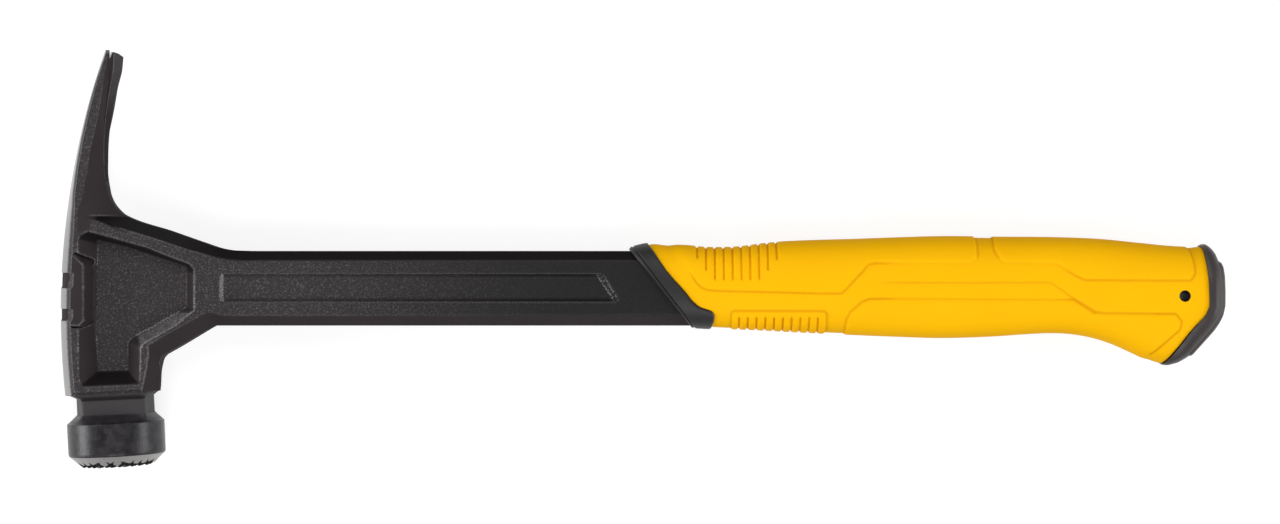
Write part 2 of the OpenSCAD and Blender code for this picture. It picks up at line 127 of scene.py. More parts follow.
def curve_through(points, steps=240):
    """A dense line along the smooth curve through some points: each coordinate flows along the chord length."""
    points = np.asarray(points, float)
    run = run_along(points)
    at = np.linspace(0, run[-1], steps)
    return np.stack([flowing(at, np.stack([run, part], -1)) for part in points.T], -1)


def line_distance(x, y, points):
    """Distance to an open line: the least of the distances to its straight pieces."""
    place = np.stack(np.broadcast_arrays(x, y), -1).astype(float)
    best = np.full(place.shape[:-1], np.inf)
    for a, b in zip(points[:-1], points[1:]):
        along = b - a
        t = np.clip((place - a) @ along / (along @ along), 0, 1)
        best = np.minimum(best, np.linalg.norm(place - a - t[..., None] * along, axis=-1))
    return best


def outline_distance(x, y, points, r=0.0):
    """Signed distance to a closed outline, below zero inside, with its outer corners rounded to the radius r:
    the distance to the same outline drawn in by r, less r. Inside and outside come from counting crossings."""
    points = np.asarray(points, float)
    if r:
        before = points - np.roll(points, 1, 0)
        after = np.roll(points, -1, 0) - points
        before /= np.linalg.norm(before, axis=1)[:, None]
        after /= np.linalg.norm(after, axis=1)[:, None]
        area = np.sum(points[:, 0] * np.roll(points[:, 1], -1) - points[:, 1] * np.roll(points[:, 0], -1))
        normal = np.stack([-(before + after)[:, 1], (before + after)[:, 0]], -1) * np.sign(area)
        points = points + r * normal / (1 + np.sum(before * after, 1))[:, None]
    ring = np.concatenate([points, points[:1]])
    x, y = (np.asarray(part, float) for part in np.broadcast_arrays(x, y))
    inside = np.zeros(x.shape, bool)
    for (ax, ay), (bx, by) in zip(ring[:-1], ring[1:]):
        if ay != by:
            inside ^= ((ay > y) != (by > y)) & (x < (bx - ax) * (y - ay) / (by - ay) + ax)
    far = line_distance(x, y, ring)
    return np.where(inside, -far, far) - r


def spaced(stops, steps):
    """Places from the first stop to the last that hit every stop, with about the given step between each two."""
    parts = [
        np.linspace(a, b, max(2, int(round((b - a) / step)) + 1))[:-1]
        for a, b, step in zip(stops[:-1], stops[1:], steps)
    ]
    return np.concatenate(parts + [[stops[-1]]])


# Meshes


def put(name, data):
    """Puts a new object into the scene."""
    thing = bpy.data.objects.new(name, data)
    bpy.context.scene.collection.objects.link(thing)
    return thing


class Skin:
    """Gathers patches of a surface, each a grid of points, and welds them into one closed mesh."""

    def __init__(self):
        self.points, self.quads, self.marks, self.count = [], [], [], 0

    def patch(self, x, y, w, mark=0.0, sides=(1, -1), closed=False):
        """Adds the grid of points (x, y, w), and its mirror image across the middle plane."""
        x, y, w, mark = np.broadcast_arrays(x, y, w, mark)
        rows, cols = x.shape
        i = np.arange(rows - 1)[:, None]
        j = np.arange(cols if closed else cols - 1)[None, :]
        k = (j + 1) % cols
        quads = np.stack([i * cols + j, i * cols + k, (i + 1) * cols + k, (i + 1) * cols + j], -1).reshape(-1, 4)
        for side in sides:
            self.points.append(np.stack([x, y, side * w], -1).reshape(-1, 3))
            self.marks.append(np.asarray(mark, float).ravel())
            self.quads.append(quads[:, ::side] + self.count)
            self.count += rows * cols

    def piece(self, name, finish, slot, *nodes, sharp=38, hole=None):
        """Makes the piece and hands it to the frame on the root body: doubles merged, faces turned outwards, a hole
        drilled, edges sharper than an angle kept sharp, and the attribute edge added."""
        points = np.concatenate(self.points) * MM + [0, 0, LIE * MM]
        quads = np.concatenate(self.quads)
        mesh = bpy.data.meshes.new(name)
        mesh.vertices.add(len(points))
        mesh.vertices.foreach_set("co", points.ravel())
        mesh.loops.add(quads.size)
        mesh.loops.foreach_set("vertex_index", quads.ravel())
        mesh.polygons.add(len(quads))
        mesh.polygons.foreach_set("loop_start", np.arange(len(quads)) * 4)
        mesh.attributes.new("mark", "FLOAT", "POINT").data.foreach_set("value", np.concatenate(self.marks))
        mesh.update(calc_edges=True)
        work = bmesh.new()
        work.from_mesh(mesh)
        bmesh.ops.remove_doubles(work, verts=work.verts, dist=WELD)
        bmesh.ops.dissolve_degenerate(work, edges=work.edges, dist=SLIVER)
        bmesh.ops.recalc_face_normals(work, faces=work.faces)
        work.to_mesh(mesh)
        work.free()
        if hole:
            mesh = drilled(mesh, *hole)
        mesh.polygons.foreach_set("use_smooth", np.ones(len(mesh.polygons), bool))
        mesh.set_sharp_from_angle(angle=math.radians(sharp))
        mark_edges(mesh)
        mesh.materials.append(finish)
        piece = put(name, mesh)
        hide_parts(*nodes)
        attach(piece, "root")


def drilled(mesh, x, y, r):
    """A copy of a closed mesh with a round hole through it, across the middle plane."""
    sides, reach = 48, 30
    turn = np.linspace(0, 2 * np.pi, sides, endpoint=False)
    ring = np.stack([x + r * np.cos(turn), y + r * np.sin(turn)], -1)
    points = [(*at, LIE + w) for w in (-reach, reach) for at in ring]
    walls = [(k, (k + 1) % sides, (k + 1) % sides + sides, k + sides) for k in range(sides)]
    ends = [tuple(range(sides))[::-1], tuple(range(sides, 2 * sides))]
    drill = bpy.data.meshes.new("drill")
    drill.from_pydata(np.array(points) * MM, [], walls + ends)
    blank, tool = put("blank", mesh), put("drill", drill)
    cut = blank.modifiers.new("hole", "BOOLEAN")
    cut.operation, cut.solver, cut.object = "DIFFERENCE", "EXACT", tool
    made = bpy.data.meshes.new_from_object(blank.evaluated_get(bpy.context.evaluated_depsgraph_get()))
    for thing in (blank, tool):
        bpy.data.objects.remove(thing)
    made.materials.clear()
    return made


def mark_edges(mesh):
    """Attribute edge: the mean, over a point's edges, of the sine by which each neighbour lies below its plane.
    It is above zero on ridges and below zero in hollows."""
    def read(items, name, wide, kind=float):
        got = np.empty(len(items) * wide, kind)
        items.foreach_get(name, got)
        return got.reshape(-1, wide)

    place, normal = read(mesh.vertices, "co", 3), read(mesh.vertex_normals, "vector", 3)
    ends = read(mesh.edges, "vertices", 2, int)
    total, hits = np.zeros((2, len(place)))
    for here, there in ((0, 1), (1, 0)):
        step = place[ends[:, here]] - place[ends[:, there]]
        rise = np.sum(normal[ends[:, here]] * step, 1) / np.maximum(np.linalg.norm(step, axis=1), 1e-9)
        np.add.at(total, ends[:, here], rise)
        np.add.at(hits, ends[:, here], 1)
    mesh.attributes.new("edge", "FLOAT", "POINT").data.foreach_set("value", total / np.maximum(hits, 1))


# Finishes


class Value:
    """A socket that Python arithmetic adds Math nodes to."""

    def __init__(self, finish, socket):
        self.finish, self.socket = finish, socket

    def _math(self, operation, a, b):
        return self.finish.node("ShaderNodeMath", {"operation": operation}, {0: a, 1: b})

    def __add__(self, other):
        return self._math("ADD", self, other)

    __radd__ = __add__

    def __mul__(self, other):
        return self._math("MULTIPLY", self, other)

    __rmul__ = __mul__

    def __sub__(self, other):
        return self._math("SUBTRACT", self, other)

    def __rsub__(self, other):
        return self._math("SUBTRACT", other, self)

    def clipped(self):
        """The value held between 0 and 1."""
        return self.finish.node("ShaderNodeClamp", {}, {"Value": self})

    def between(self, low, high):
        """0 below low, 1 above high, smooth between."""
        return self.finish.node(
            "ShaderNodeMapRange", {"interpolation_type": "SMOOTHSTEP"}, {"Value": self, 1: low, 2: high}
        )


class Finish:
    """A material and the nodes that make it."""

    def __init__(self, name):
        self.material = bpy.data.materials.new(name)
        self.material.use_nodes = True
        self.tree = self.material.node_tree
        self.tree.nodes.clear()

    def node(self, kind, settings, inputs, out=0):
        """Adds a node: its settings first, then the value or link of each socket, and gives one of its outputs."""
        made = self.tree.nodes.new(kind)
        for key, value in settings.items():
            setattr(made, key, value)
        for key, value in inputs.items():
            if isinstance(value, Value):
                self.tree.links.new(value.socket, made.inputs[key])
            elif isinstance(value, tuple) and len(value) == 3 and made.inputs[key].type == "RGBA":
                made.inputs[key].default_value = (*value, 1)
            else:
                made.inputs[key].default_value = value
        return Value(self, made.outputs[out])

    def place(self, stretch=(1, 1, 1)):
        """Object coordinates, stretched."""
        here = self.node("ShaderNodeTexCoord", {}, {}, out=3)
        return self.node("ShaderNodeMapping", {}, {"Vector": here, "Scale": stretch})

    def along(self):
        """The place along the hammer, in metres."""
        return self.node("ShaderNodeSeparateXYZ", {}, {0: self.place()})

    def noise(self, size, detail=3.0, stretch=(1, 1, 1), roughness=0.55):
        """Cloudy noise whose features are about size millimetres across."""
        inputs = {"Vector": self.place(stretch), "Scale": 1 / (size * MM), "Detail": detail, "Roughness": roughness}
        return self.node("ShaderNodeTexNoise", {}, inputs)

    def mark(self, name):
        """A piece's own attribute."""
        return self.node("ShaderNodeAttribute", {"attribute_name": name}, {}, out=2)

    def blend(self, factor, a, b):
        """Colour a where the factor is 0, b where it is 1."""
        return self.node("ShaderNodeMix", {"data_type": "RGBA"}, {0: factor, 6: a, 7: b}, out=2)

    def surface(self, colour, rough, height, depth, strength, gloss, metal=0.0):
        """A shader whose normal is tilted by a height field that is depth millimetres deep."""
        tilt = self.node("ShaderNodeBump", {}, {"Height": height, "Distance": depth * MM, "Strength": strength})
        return self.node("ShaderNodeBsdfPrincipled", {}, {
            "Base Color": colour, "Roughness": rough, "Normal": tilt, "Specular IOR Level": gloss, "Metallic": metal,
        })

    def end(self, shader):
        """Puts a shader on the surface and gives the material."""
        out = self.tree.nodes.new("ShaderNodeOutputMaterial")
        self.tree.links.new(shader.socket, out.inputs["Surface"])
        return self.material


def forged_black():
    """Blasted black coating. Faces are pebbled, with bright specks that are partly lighter grain and partly painted
    glints, and edges lightened as wear and painted highlight; the shank's get darker towards the grip as painted
    shade. Flanks, where the attribute mark is below zero, are smooth and darker, the more so at -2, which is painted
    shade. A little above zero the coat is lightened along edges and lines, partly wear and partly painted highlight,
    and from 0.5 on it is ground off to bright steel, paler still from 1 to 1.5 as a painted highlight."""
    f = Finish("forged_black")
    ridge = f.mark("edge")
    mark = f.mark("mark")
    pebble = f.noise(0.6, roughness=0.65)
    coarse = f.noise(2.2)
    cloud = f.noise(14)
    # Convex edges made lighter: partly wear, partly a painted highlight.
    wear_and_glint = (ridge.between(0.03, 0.2) * pebble.between(0.3, 0.56)).clipped()
    black = f.blend(cloud, (0.022, 0.0191, 0.0211), (0.0295, 0.0258, 0.0282))
    # Bright specks on the pebbles: partly lighter grain, partly painted glints.
    speck = f.blend(pebble.between(0.48, 0.74), black, (0.108, 0.0965, 0.104))
    # Painted shade: the coat darkens along the shank towards the grip.
    to_grip = f.along().between(-0.14, -0.02)
    speck = f.blend(to_grip * 0.88, speck, (0.004, 0.0036, 0.004))
    # Marks from 0 to 0.25 are lines along the pocket's edges, the boss and the recess ends, lightened as wear and
    # painted highlight.
    rub_and_highlight = mark.between(0.0, 0.25)
    polish_and_highlight = (rub_and_highlight * 0.95 + (pebble - 0.5) * 2.4 - 0.3).between(0.1, 0.9) * rub_and_highlight.between(0.02, 0.3)
    coat = f.blend(polish_and_highlight * 0.85, f.blend(wear_and_glint * 0.45, speck, (0.17, 0.162, 0.163)), (0.24, 0.232, 0.232))
    grain = f.noise(0.5, stretch=(1, 1, 0.06))
    ground = (mark + (coarse - 0.5) * 0.35).between(0.42, 0.58)
    dull = f.blend(grain, (0.23, 0.228, 0.226), (0.33, 0.327, 0.323))
    # Marks from 1 to 1.5 make the ground strip paler towards the claw: painted highlight.
    bright = f.blend(mark.between(1.0, 1.5), dull, (0.44, 0.437, 0.432))
    rough = (0.50 + pebble * 0.16 - wear_and_glint * 0.12) * (1 - ground) + (0.30 + grain * 0.16) * ground
    height = (pebble * 0.9 + coarse * 0.4) * (1 - ground) + grain * ground * 0.2
    face = f.surface(f.blend(ground, coat, bright), rough, height, 0.3, 0.8, gloss=0.25, metal=ground * 0.9)
    fine = f.noise(0.5, 2.0)
    plain = f.blend(cloud, (0.031, 0.0254, 0.0278), (0.040, 0.033, 0.0358))
    # Marks down to -2 darken the flanks that face the claw: painted shade.
    deep = f.blend((0 - mark).between(1.2, 1.8), plain, (0.0105, 0.009, 0.0096))
    # Edges on the flanks lightened too: wear and painted highlight.
    smooth = f.blend(wear_and_glint * 0.7, deep, (0.15, 0.14, 0.14))
    flank = f.surface(smooth, 0.6 + fine * 0.2, fine, 0.06, 0.4, gloss=0.04)
    return f.end(f.node("ShaderNodeMixShader", {}, {0: (0 - mark).between(0.2, 0.8), 1: face, 2: flank}))


def bell_black():
    """The same coating, smoother on the turned bell and paler on the neck, with edges lightened as wear and painted
    highlight, ground bright on the bevel round the face, and dull black on its teeth, where the attribute mark is
    below zero, darkened there further as painted shade in the grooves."""
    f = Finish("bell_black")
    ridge = f.mark("edge")
    pebble = f.noise(0.6, 2.0)
    coarse = f.noise(2.6)
    # Convex edges made lighter: partly wear, partly a painted highlight.
    wear_and_glint = (ridge.between(0.05, 0.3) * coarse.between(0.3, 0.62)).clipped()
    mark = f.mark("mark")
    tooth = (0 - mark).between(0.2, 0.8)
    neck = mark.between(0.06, 0.22)
    black = f.blend(coarse.between(0.3, 0.7), (0.012, 0.0106, 0.0128), (0.032, 0.0288, 0.0333))
    pale = f.blend(pebble, (0.027, 0.0238, 0.026), (0.05, 0.045, 0.0485))
    coat = f.blend(wear_and_glint * 0.5, f.blend(neck, black, pale), (0.17, 0.162, 0.16))
    turned = f.noise(0.45, stretch=(0.05, 1, 0.05))
    ground = (mark + (coarse - 0.5) * 0.25).between(0.44, 0.56)
    bright = f.blend(turned, (0.23, 0.222, 0.22), (0.33, 0.322, 0.318))
    # The teeth: black coat, darkened almost to nothing as painted shade in the grooves.
    colour = f.blend(tooth, f.blend(ground, coat, bright), (0.003, 0.003, 0.003))
    rough = (0.27 + pebble * 0.12 + tooth * 0.5 + neck * 0.25) * (1 - ground) + (0.30 + turned * 0.18) * ground
    height = pebble * 0.6 * (1 - ground) + turned * ground * 0.3
    return f.end(f.surface(colour, rough, height, 0.12, 0.5, gloss=0.27, metal=ground * 0.9))


def soft_yellow():
    """Soft moulded grip: satin yellow with a fine matte grain, darker orange in its grooves and lines as painted
    shade.
    """
    f = Finish("soft_yellow")
    grain = f.noise(0.35, 2.0)
    cloud = f.noise(22)
    hollow = f.mark("mark").between(0.15, 0.95)
    yellow = f.blend(cloud, (0.955, 0.475, 0.0006), (0.985, 0.515, 0.001))
    # Painted shade: the grooves and relief lines, from the attribute mark, are darkened to orange.
    colour = f.blend(hollow * 0.55, yellow, (0.66, 0.24, 0.001))
    rough = 0.55 + grain * 0.12 + hollow * 0.1
    return f.end(f.surface(colour, rough, grain, 0.05, 0.35, gloss=0.05))


def moulded_black(name, low, high, rough):
    """Moulded black trim: semi-gloss with a fine grain, its edges lightened as wear and painted highlight."""
    f = Finish(name)
    grain = f.noise(0.4, 2.0)
    cloud = f.noise(9)
    # Convex edges made lighter: partly wear, partly a painted highlight.
    wear_and_glint = f.mark("edge").between(0.05, 0.3) * cloud.between(0.3, 0.7)
    colour = f.blend(wear_and_glint * 0.4, f.blend(cloud, low, high), (0.12, 0.112, 0.11))
    return f.end(f.surface(colour, rough + grain * 0.14, grain, 0.05, 0.4, gloss=0.3))


def plated_magnet():
    """Nickel plate with fine round scratches."""
    f = Finish("plated_magnet")
    scratch = f.noise(0.5, 4.0, stretch=(1, 0.2, 1))
    colour = f.blend(scratch, (0.46, 0.455, 0.44), (0.62, 0.61, 0.6))
    inputs = {"Base Color": colour, "Metallic": 1.0, "Roughness": 0.22 + scratch * 0.2}
    return f.end(f.node("ShaderNodeBsdfPrincipled", {}, inputs))


FORGED = forged_black()
BELL = bell_black()
YELLOW = soft_yellow()
COLLAR = moulded_black("collar_black", (0.014, 0.013, 0.013), (0.020, 0.0185, 0.018), 0.42)
CAP = moulded_black("cap_black", (0.034, 0.0275, 0.0278), (0.046, 0.038, 0.0385), 0.4)
LINING = moulded_black("lining_black", (0.012, 0.012, 0.012), (0.02, 0.019, 0.019), 0.5)


# Forged body


HEAD_Y, TIP_Y, SLOT_Y = -46.7, 72.6, 26.6
FOOT_X, WALL_X, DIAG_Y, KNEE_X = -168.5, -168.0, -34.1, -149.0
SHANK_LOW, SHANK_TOP, HAND_X, SHANK_END = -23.1, 2.9, -136.0, 24.0
CLAW_Y, HEAD_HALF, TIP_HALF, SHANK_HALF = 18.2, 12.5, 14.5, 6.8
TOUCH = 1e-6
SEATS = ((-4.62, 5.6), (-17.12, 4.4))
SEAT_DEPTH = 0.9
CANT = math.tan(math.radians(2.8))
ARC_R, ARC_X, ARC_Y = 265.0, 62, -18
SLOT_END_R, SLOT_OPEN, SLOT_LONG, SLOT_BEVEL = 0.8, 2.95, 46, 0.9
NAIL_GROOVE_R, NAIL_GROOVE_DEEP, NAIL_GROOVE_Y = 2.4, 1.2, -7.4
MAGNET_Y, MAGNET_BORE_R, MAGNET_FLOOR_X = -13.67, 3.15, -201.72
TINE_ROUND, TINE_ROUND_FROM, TINE_ROUND_OVER = 1.4, 5, 9
THINNEST = 0.4

INSIDE_EDGE = curve_through([
    (HAND_X, SHANK_TOP), (-140.3, SHANK_TOP), (-146.4, 3.7), (-152.6, 5.7), (-164.9, 10.0), (-178.5, 14.4),
    (-181.3, 15.8), (-183.0, 17.4), (-184.4, 19.1), (-185.8, 21.8), (-186.7, 25.5), (-187.35, 29.4), (-187.5, 34.6),
    (-187.4, 42.6), (-186.9, 49.0), (-186.0, 55.6), (-184.9, 61.7), (-184.1, 66.8), (-183.8, TIP_Y),
])
INSIDE_EDGE[:, 1] = np.maximum.accumulate(INSIDE_EDGE[:, 1])
LOWER_EDGE = rounded_corner((FOOT_X, HEAD_Y), (WALL_X, DIAG_Y), (KNEE_X, SHANK_LOW), 3.5)
GUSSET_LINE = [
    (-210, 24.5), (-200, 21.3), (-178.5, 14.4), (-164.9, 10.0), (-152.6, 5.7), (-146.4, 3.7), (-140.3, 2.9),
    (-134, 2.9), (-128, 2.9), (30, 2.9),
]
CREASE = [
    (4, -195.6), (12, -195.4), (17.6, -195.0), (21.2, -193.7), (27.1, -192.6), (30.3, -191.8), (38.2, -190.5),
    (42.2, -189.5), (51.6, -187.4), (63.9, -185.5), (TIP_Y, -184.2),
]
CLAW_EDGE_HALF = [
    (15, 2.8), (21.8, 2.8), (25.5, 3.2), (29.4, 3.6), (34.6, 4.2), (42.6, 5.2), (49, 6.4), (55.6, 8.2), (61.7, 10),
    (66.8, 12), (TIP_Y, 13.2),
]
POCKET_RIM = [
    (-194.9, 6.5), (-194.2, 8.4), (-191.5, 9.7), (-187.8, 8.8), (-171.5, 4.2), (-161.4, 0.2), (-156.6, -1.6),
    (-155.2, -3.4), (-155.2, -17.6), (-161.7, -23.0), (-172.0, -28.8), (-173.4, -30.6), (-173.6, -43.8),
    (-193.6, -43.8), (-194.8, -40.5),
]
POCKET_FLOOR = [
    (-189.4, 6.6), (-179.3, 4.2), (-171.1, 1.4), (-158.9, -2.6), (-158.5, -3.6), (-158.5, -16.6), (-169.4, -23.0),
    (-177.4, -27.3), (-178.9, -29.0), (-178.9, -38.6), (-189.2, -38.6), (-190.3, -22.8),
]
POCKET_HALF = 5.0
BAY = [(-193.0, -2.4), (-185.0, -2.4), (-185.0, -21.4), (-193.0, -21.4)]
BOSS_GAPS = [
    [(-196.2, 2.5), (-193.5, 1.5), (-190.6, 0.8), (-189.5, -0.6), (-190.4, -2.7), (-193.2, -2.7), (-196.8, 1.5)],
    [(-197.4, -22.2), (-194.5, -22.1), (-193.2, -20.9), (-189.4, -20.7), (-189.1, -22.2), (-191.5, -23.2),
     (-193.5, -23.8), (-197.4, -23.9)],
]
BOSS = [
    (-198.8, 1.5), (-196.4, 1.35), (-193.4, -1.5), (-193.0, -2.6), (-193.0, -21.2), (-194.5, -23.0), (-198.8, -23.0),
]
RECESS = [(-146.9, -4.95), (-14.0, -4.95), (-7.6, -14.9), (-146.9, -14.9)]
RECESS_R, RECESS_DEEP = 1.2, 1.6
BOSS_HALF, BOSS_X = 12.95, -195.9


def recess_end(x, y):
    """Distance into the shank's recess from its slanted end."""
    corner_x, corner_y = RECESS[1]
    return -(x - corner_x) * 0.841 - (y - corner_y) * 0.541


def arc_edge(y):
    """Outside of head and claw: an arc of a circle."""
    return ARC_X - np.sqrt(ARC_R ** 2 - (y - ARC_Y) ** 2)


def half_width(y):
    """Half the width of head and claw: level on the head, then widening evenly to the claw tips."""
    return straight(y, [(CLAW_Y, HEAD_HALF), (TIP_Y, TIP_HALF)])


def slot_half(y):
    """Half the width of the nail slot: nothing below it, a round end, then a V to the tips."""
    deep = np.clip(y - SLOT_Y, 0, None)
    end = np.sqrt(np.clip(SLOT_END_R ** 2 - np.clip(SLOT_END_R - deep, 0, None) ** 2, 0, None))
    return np.where(deep > 0, end + SLOT_OPEN * deep / SLOT_LONG, 0.0)


def seat_sink(y):
    """Depth of the nail-head seats: a square shoulder on the claw side, an even ramp on the face side."""
    return sum(
        SEAT_DEPTH * ease(shoulder - y, 0, 0.12) * (1 - np.clip((shoulder - length - y) / SEAT_DEPTH + 1, 0, 1))
        for shoulder, length in SEATS
    )


def crown(y, w):
    """Crowned top across head and claw: at each height an arc whose radius grows towards the tips, sunk at the
    nail-head seats, with the nail's groove, the magnet's counterbore and a bevel along the slot."""
    r = straight(y, [(CLAW_Y, 17.0), (TIP_Y, 42.0)])
    x = arc_edge(y) + r - np.sqrt(r * r - w * w) + seat_sink(y) * (0.25 + 0.75 * ease(w, 1.0, 5.0))
    round_groove = np.sqrt(np.clip(NAIL_GROOVE_R ** 2 - w * w, 0, None))
    groove = arc_edge(y) + NAIL_GROOVE_DEEP - NAIL_GROOVE_R + round_groove
    x = np.where((y < NAIL_GROOVE_Y) & (w < NAIL_GROOVE_R), np.maximum(x, groove), x)
    bore = np.clip((MAGNET_BORE_R - np.hypot(y - MAGNET_Y, w)) / 0.3, 0, 1)
    x = x + bore * np.clip(MAGNET_FLOOR_X - x, 0, None)
    bevel = np.clip(SLOT_BEVEL - (w - slot_half(y)), 0, None) * ease(y, SLOT_Y - 1, SLOT_Y + 3)
    return x + bevel


def strip_half(y):
    """Half the width of the ground strip."""
    return half_width(y) * straight(y, [(HEAD_Y, 0.85), (5, 0.83), (22, 0.75), (45, 0.78), (TIP_Y, 0.84)])


def lip(y):
    """Where the bevel beside the ground strip meets the cheek."""
    wide = straight(y, [(HEAD_Y, 1.9), (10, 1.9), (21, 1.5), (50, 1.4), (63, 1.1), (TIP_Y, 0.4)])
    return crown(y, strip_half(y)) + wide


def inside(y):
    """Inside of head, gusset and claw, which runs out to the shank between its two edges."""
    low = np.interp(y, LOWER_EDGE[:, 1], LOWER_EDGE[:, 0])
    top = np.interp(y, INSIDE_EDGE[:, 1], INSIDE_EDGE[:, 0])
    return np.where(y <= SHANK_LOW, low, np.where(y <= SHANK_TOP, HAND_X, top))


def underside(y, w, outer):
    """Inside of the claw between its outer edge and the slot: hollowed evenly towards the slot."""
    hollow = straight(y, [(SLOT_Y, 0.9), (TIP_Y, 1.8)]) * ease(y, SLOT_Y - 1, SLOT_Y + 3)
    s = slot_half(y)
    return inside(y) - hollow * np.clip(1 - (w - s) / (outer - s), 0, 1)


def flanks(x, y, plate):
    """The steep facets that lead from the plate to the body's edges: over the gusset, along the claw, down the
    handle-side wall, under the gusset and along the shank, with fillets where they meet."""
    down = (flowing(x, GUSSET_LINE) - y) * straight(x, [(-158, 0.951), (-146, 1)])
    wide = straight(x, [(-190, 4.2), (-152, 3.7), (-140, 3.6)])
    edge = straight(x, [(-165, 2.8), (-146, 3.2)])
    gusset = edge + (plate - edge) * down / wide
    crease = flowing(y, CREASE)
    share = np.clip((x - crease) / np.maximum(inside(y) - crease, 0.1), 0, 1)
    full = half_width(y)
    claw = full - (full - straight(y, CLAW_EDGE_HALF)) * share ** straight(y, [(16, 2.6), (24, 1.6), (36, 1)])
    claw = claw - 3 * np.clip(15 - y, 0, None) * ease(x, -194, -187)
    fill = 2.7 + 0.9 * line_distance(x, y, INSIDE_EDGE[::6]) - 2 * np.clip(x + 172, 0, None)
    top = smooth_min(plate, smooth_max(smooth_max(gusset, claw, 2.0), fill, 0.6), 0.7)
    run = math.hypot(KNEE_X - WALL_X, SHANK_LOW - DIAG_Y)
    over = ((y - DIAG_Y) * (KNEE_X - WALL_X) - (x - WALL_X) * (SHANK_LOW - DIAG_Y)) / run
    draft = straight(y, [(HEAD_Y, 4.6), (-40, 3.4), (-32, 2.5)])
    wall = 1.0 + (plate - 1.0) * (straight(y, [(HEAD_Y, FOOT_X), (DIAG_Y, WALL_X)]) - x) / draft
    under = np.maximum(plate - 6.2, 2.5) + 1.2 * over
    low = smooth_max(smooth_max(wall, under, 1.6), 3.2 + (y - SHANK_LOW), 1.0)
    return np.minimum(top, smooth_min(plate, low, 0.7))


def pocket(x, y, plate):
    """The drafted pocket: from the plate at its rim evenly to its floor, by the shares of the distances to the two
    outlines, then the nail starter's steep bay and the narrow gaps at the ends of its boss."""
    into, out = -outline_distance(x, y, POCKET_RIM), outline_distance(x, y, POCKET_FLOOR)
    h = plate + (POCKET_HALF - plate) * into / np.maximum(into + out, 0.3)
    bay = POCKET_HALF + outline_distance(x, y, BAY, 0.6) * 4.0
    h = smooth_max(smooth_min(h, bay, 0.5), POCKET_HALF + 0 * h, 0.9)
    h = h + 0.3 * ease(-out, -0.2, 0.5)
    for gap in BOSS_GAPS:
        h = np.minimum(h, 12.6 + 9.0 * outline_distance(x, y, gap))
    return np.maximum(h, POCKET_HALF)


def plate_half(x, y):
    """Half thickness of the plates: the head's, thinning evenly along the gusset to the shank's."""
    return smooth_max(smooth_min(half_width(y), HEAD_HALF - 0.42 * (x + 160.1), 1.6), SHANK_HALF + 0 * x, 1.2)


def flank_share(x, y):
    """1 on the smooth flanks, 0 on the pebbled plates. The claw's flank starts at its crease and runs down to the
    corner of the pocket."""
    plate = plate_half(x, y)
    steep = ease(plate - flanks(x, y, plate), 0.05, 0.6)
    above = np.maximum(ease(y - 14.6 + 0.45 * (x + 191.1), -0.4, 0.4), ease(-190.6 - x, -1.6, 1.6))
    return np.maximum(steep, ease(x - flowing(y, CREASE), -0.3, 0.9) * above * ease(y, 8.6, 10.2))


def coat_mark(x, y):
    """The attribute mark of the cheeks. Below zero: the flanks, the pocket's walls and the boss, -2 on the flanks
    and walls that face the claw, which is painted shade. Up to 0.25: lightened lines, partly wear and partly painted
    highlight, which are the pocket's rim and floor line except on the gusset's side, the boss and the ends of the
    shank's recess, and half as much the pocket's slanted wall."""
    rim, base = outline_distance(x, y, POCKET_RIM), outline_distance(x, y, POCKET_FLOOR)
    gusset_side = ease(y - 6.6 + 0.302 * (x + 189.4), -2.0, -1.0)
    slanted = ease(x + 0.5 * y, -190.2, -188.4) * ease(-y, 17.5, 18.5)
    beside = np.clip(np.maximum(-189.2 - x, x + 178.9), 0, None)
    face_side = ease(-38.6 - y - 0.9 * beside, -0.3, 0.3)
    wall = ease(-rim, 0.0, 0.35) * ease(base, 0.0, 0.35)
    boss = ease(-outline_distance(x, y, BOSS), -0.2, 0.2)
    on_boss = ease(-x, 191.5, 192.5) * window(y, -23.6, -23.0, 1.4, 2.0)
    by_boss = ease(-x, 185.5, 186.5) * window(y, -22.6, -21.6, -3.0, -2.0)
    thick = 0.27 + 0.17 * ease(x, -177, -175)
    # Lines along the pocket's rim and floor: painted highlights, partly wear.
    lines = np.maximum(
        swell(rim, thick) * (1 - on_boss) * (1 - 0.7 * ease(-y, 42, 43)),
        swell(base + 0.1, 0.27 + 0.12 * slanted) * (1 - by_boss) * (0.8 + 0.2 * slanted),
    ) * (1 - gusset_side)
    # A painted highlight down the boss's edge.
    boss_line = 0.8 * swell(x + 193.1, 0.3) * window(y, -21.8, -20.8, -3.2, -2.2)
    deep = -outline_distance(x, y, RECESS, RECESS_R)
    end = recess_end(x, y)
    # Painted highlights on the sloped ends of the recess.
    slope = 0.45 * window(end, -0.1, 0.2, 2.0, 2.4) + 0.5 * (swell(end - 0.1, 0.3) + swell(end - 2.1, 0.3))
    ends = ease(deep, -0.1, 0.2) * np.maximum(ease(-deep, -1.5, -1.1) * ease(-x, 145.2, 145.6), slope)
    rubbed_and_highlit = np.clip(np.max([lines, boss_line, ends, 0.72 * wall * slanted], axis=0), 0, 1)
    flank = flank_share(x, y)
    # Painted shade: flanks above the gusset line, facing the claw, go darker.
    up = 0.85 * ease(y - flowing(x, GUSSET_LINE), -6.0, -5.0) * ease(x, -191.5, -187.5) * (1 - ease(y, 14.2, 15.4))
    # The walls on the gusset's and the face's sides darken further: painted shade.
    smooth = np.max([
        flank * (1 + up), 0.75 * boss * (1 - boss_line),
        wall * (1 - slanted) * (0.8 + 0.85 * np.maximum(gusset_side, face_side)),
    ], axis=0)
    # bare: the lightened lines off the flanks, partly wear and partly painted highlight.
    bare = rubbed_and_highlit * (1 - flank)
    return 0.25 * bare * (1 - np.clip(smooth, 0, 1) * (1 - rubbed_and_highlit)) - smooth * (1 - bare)


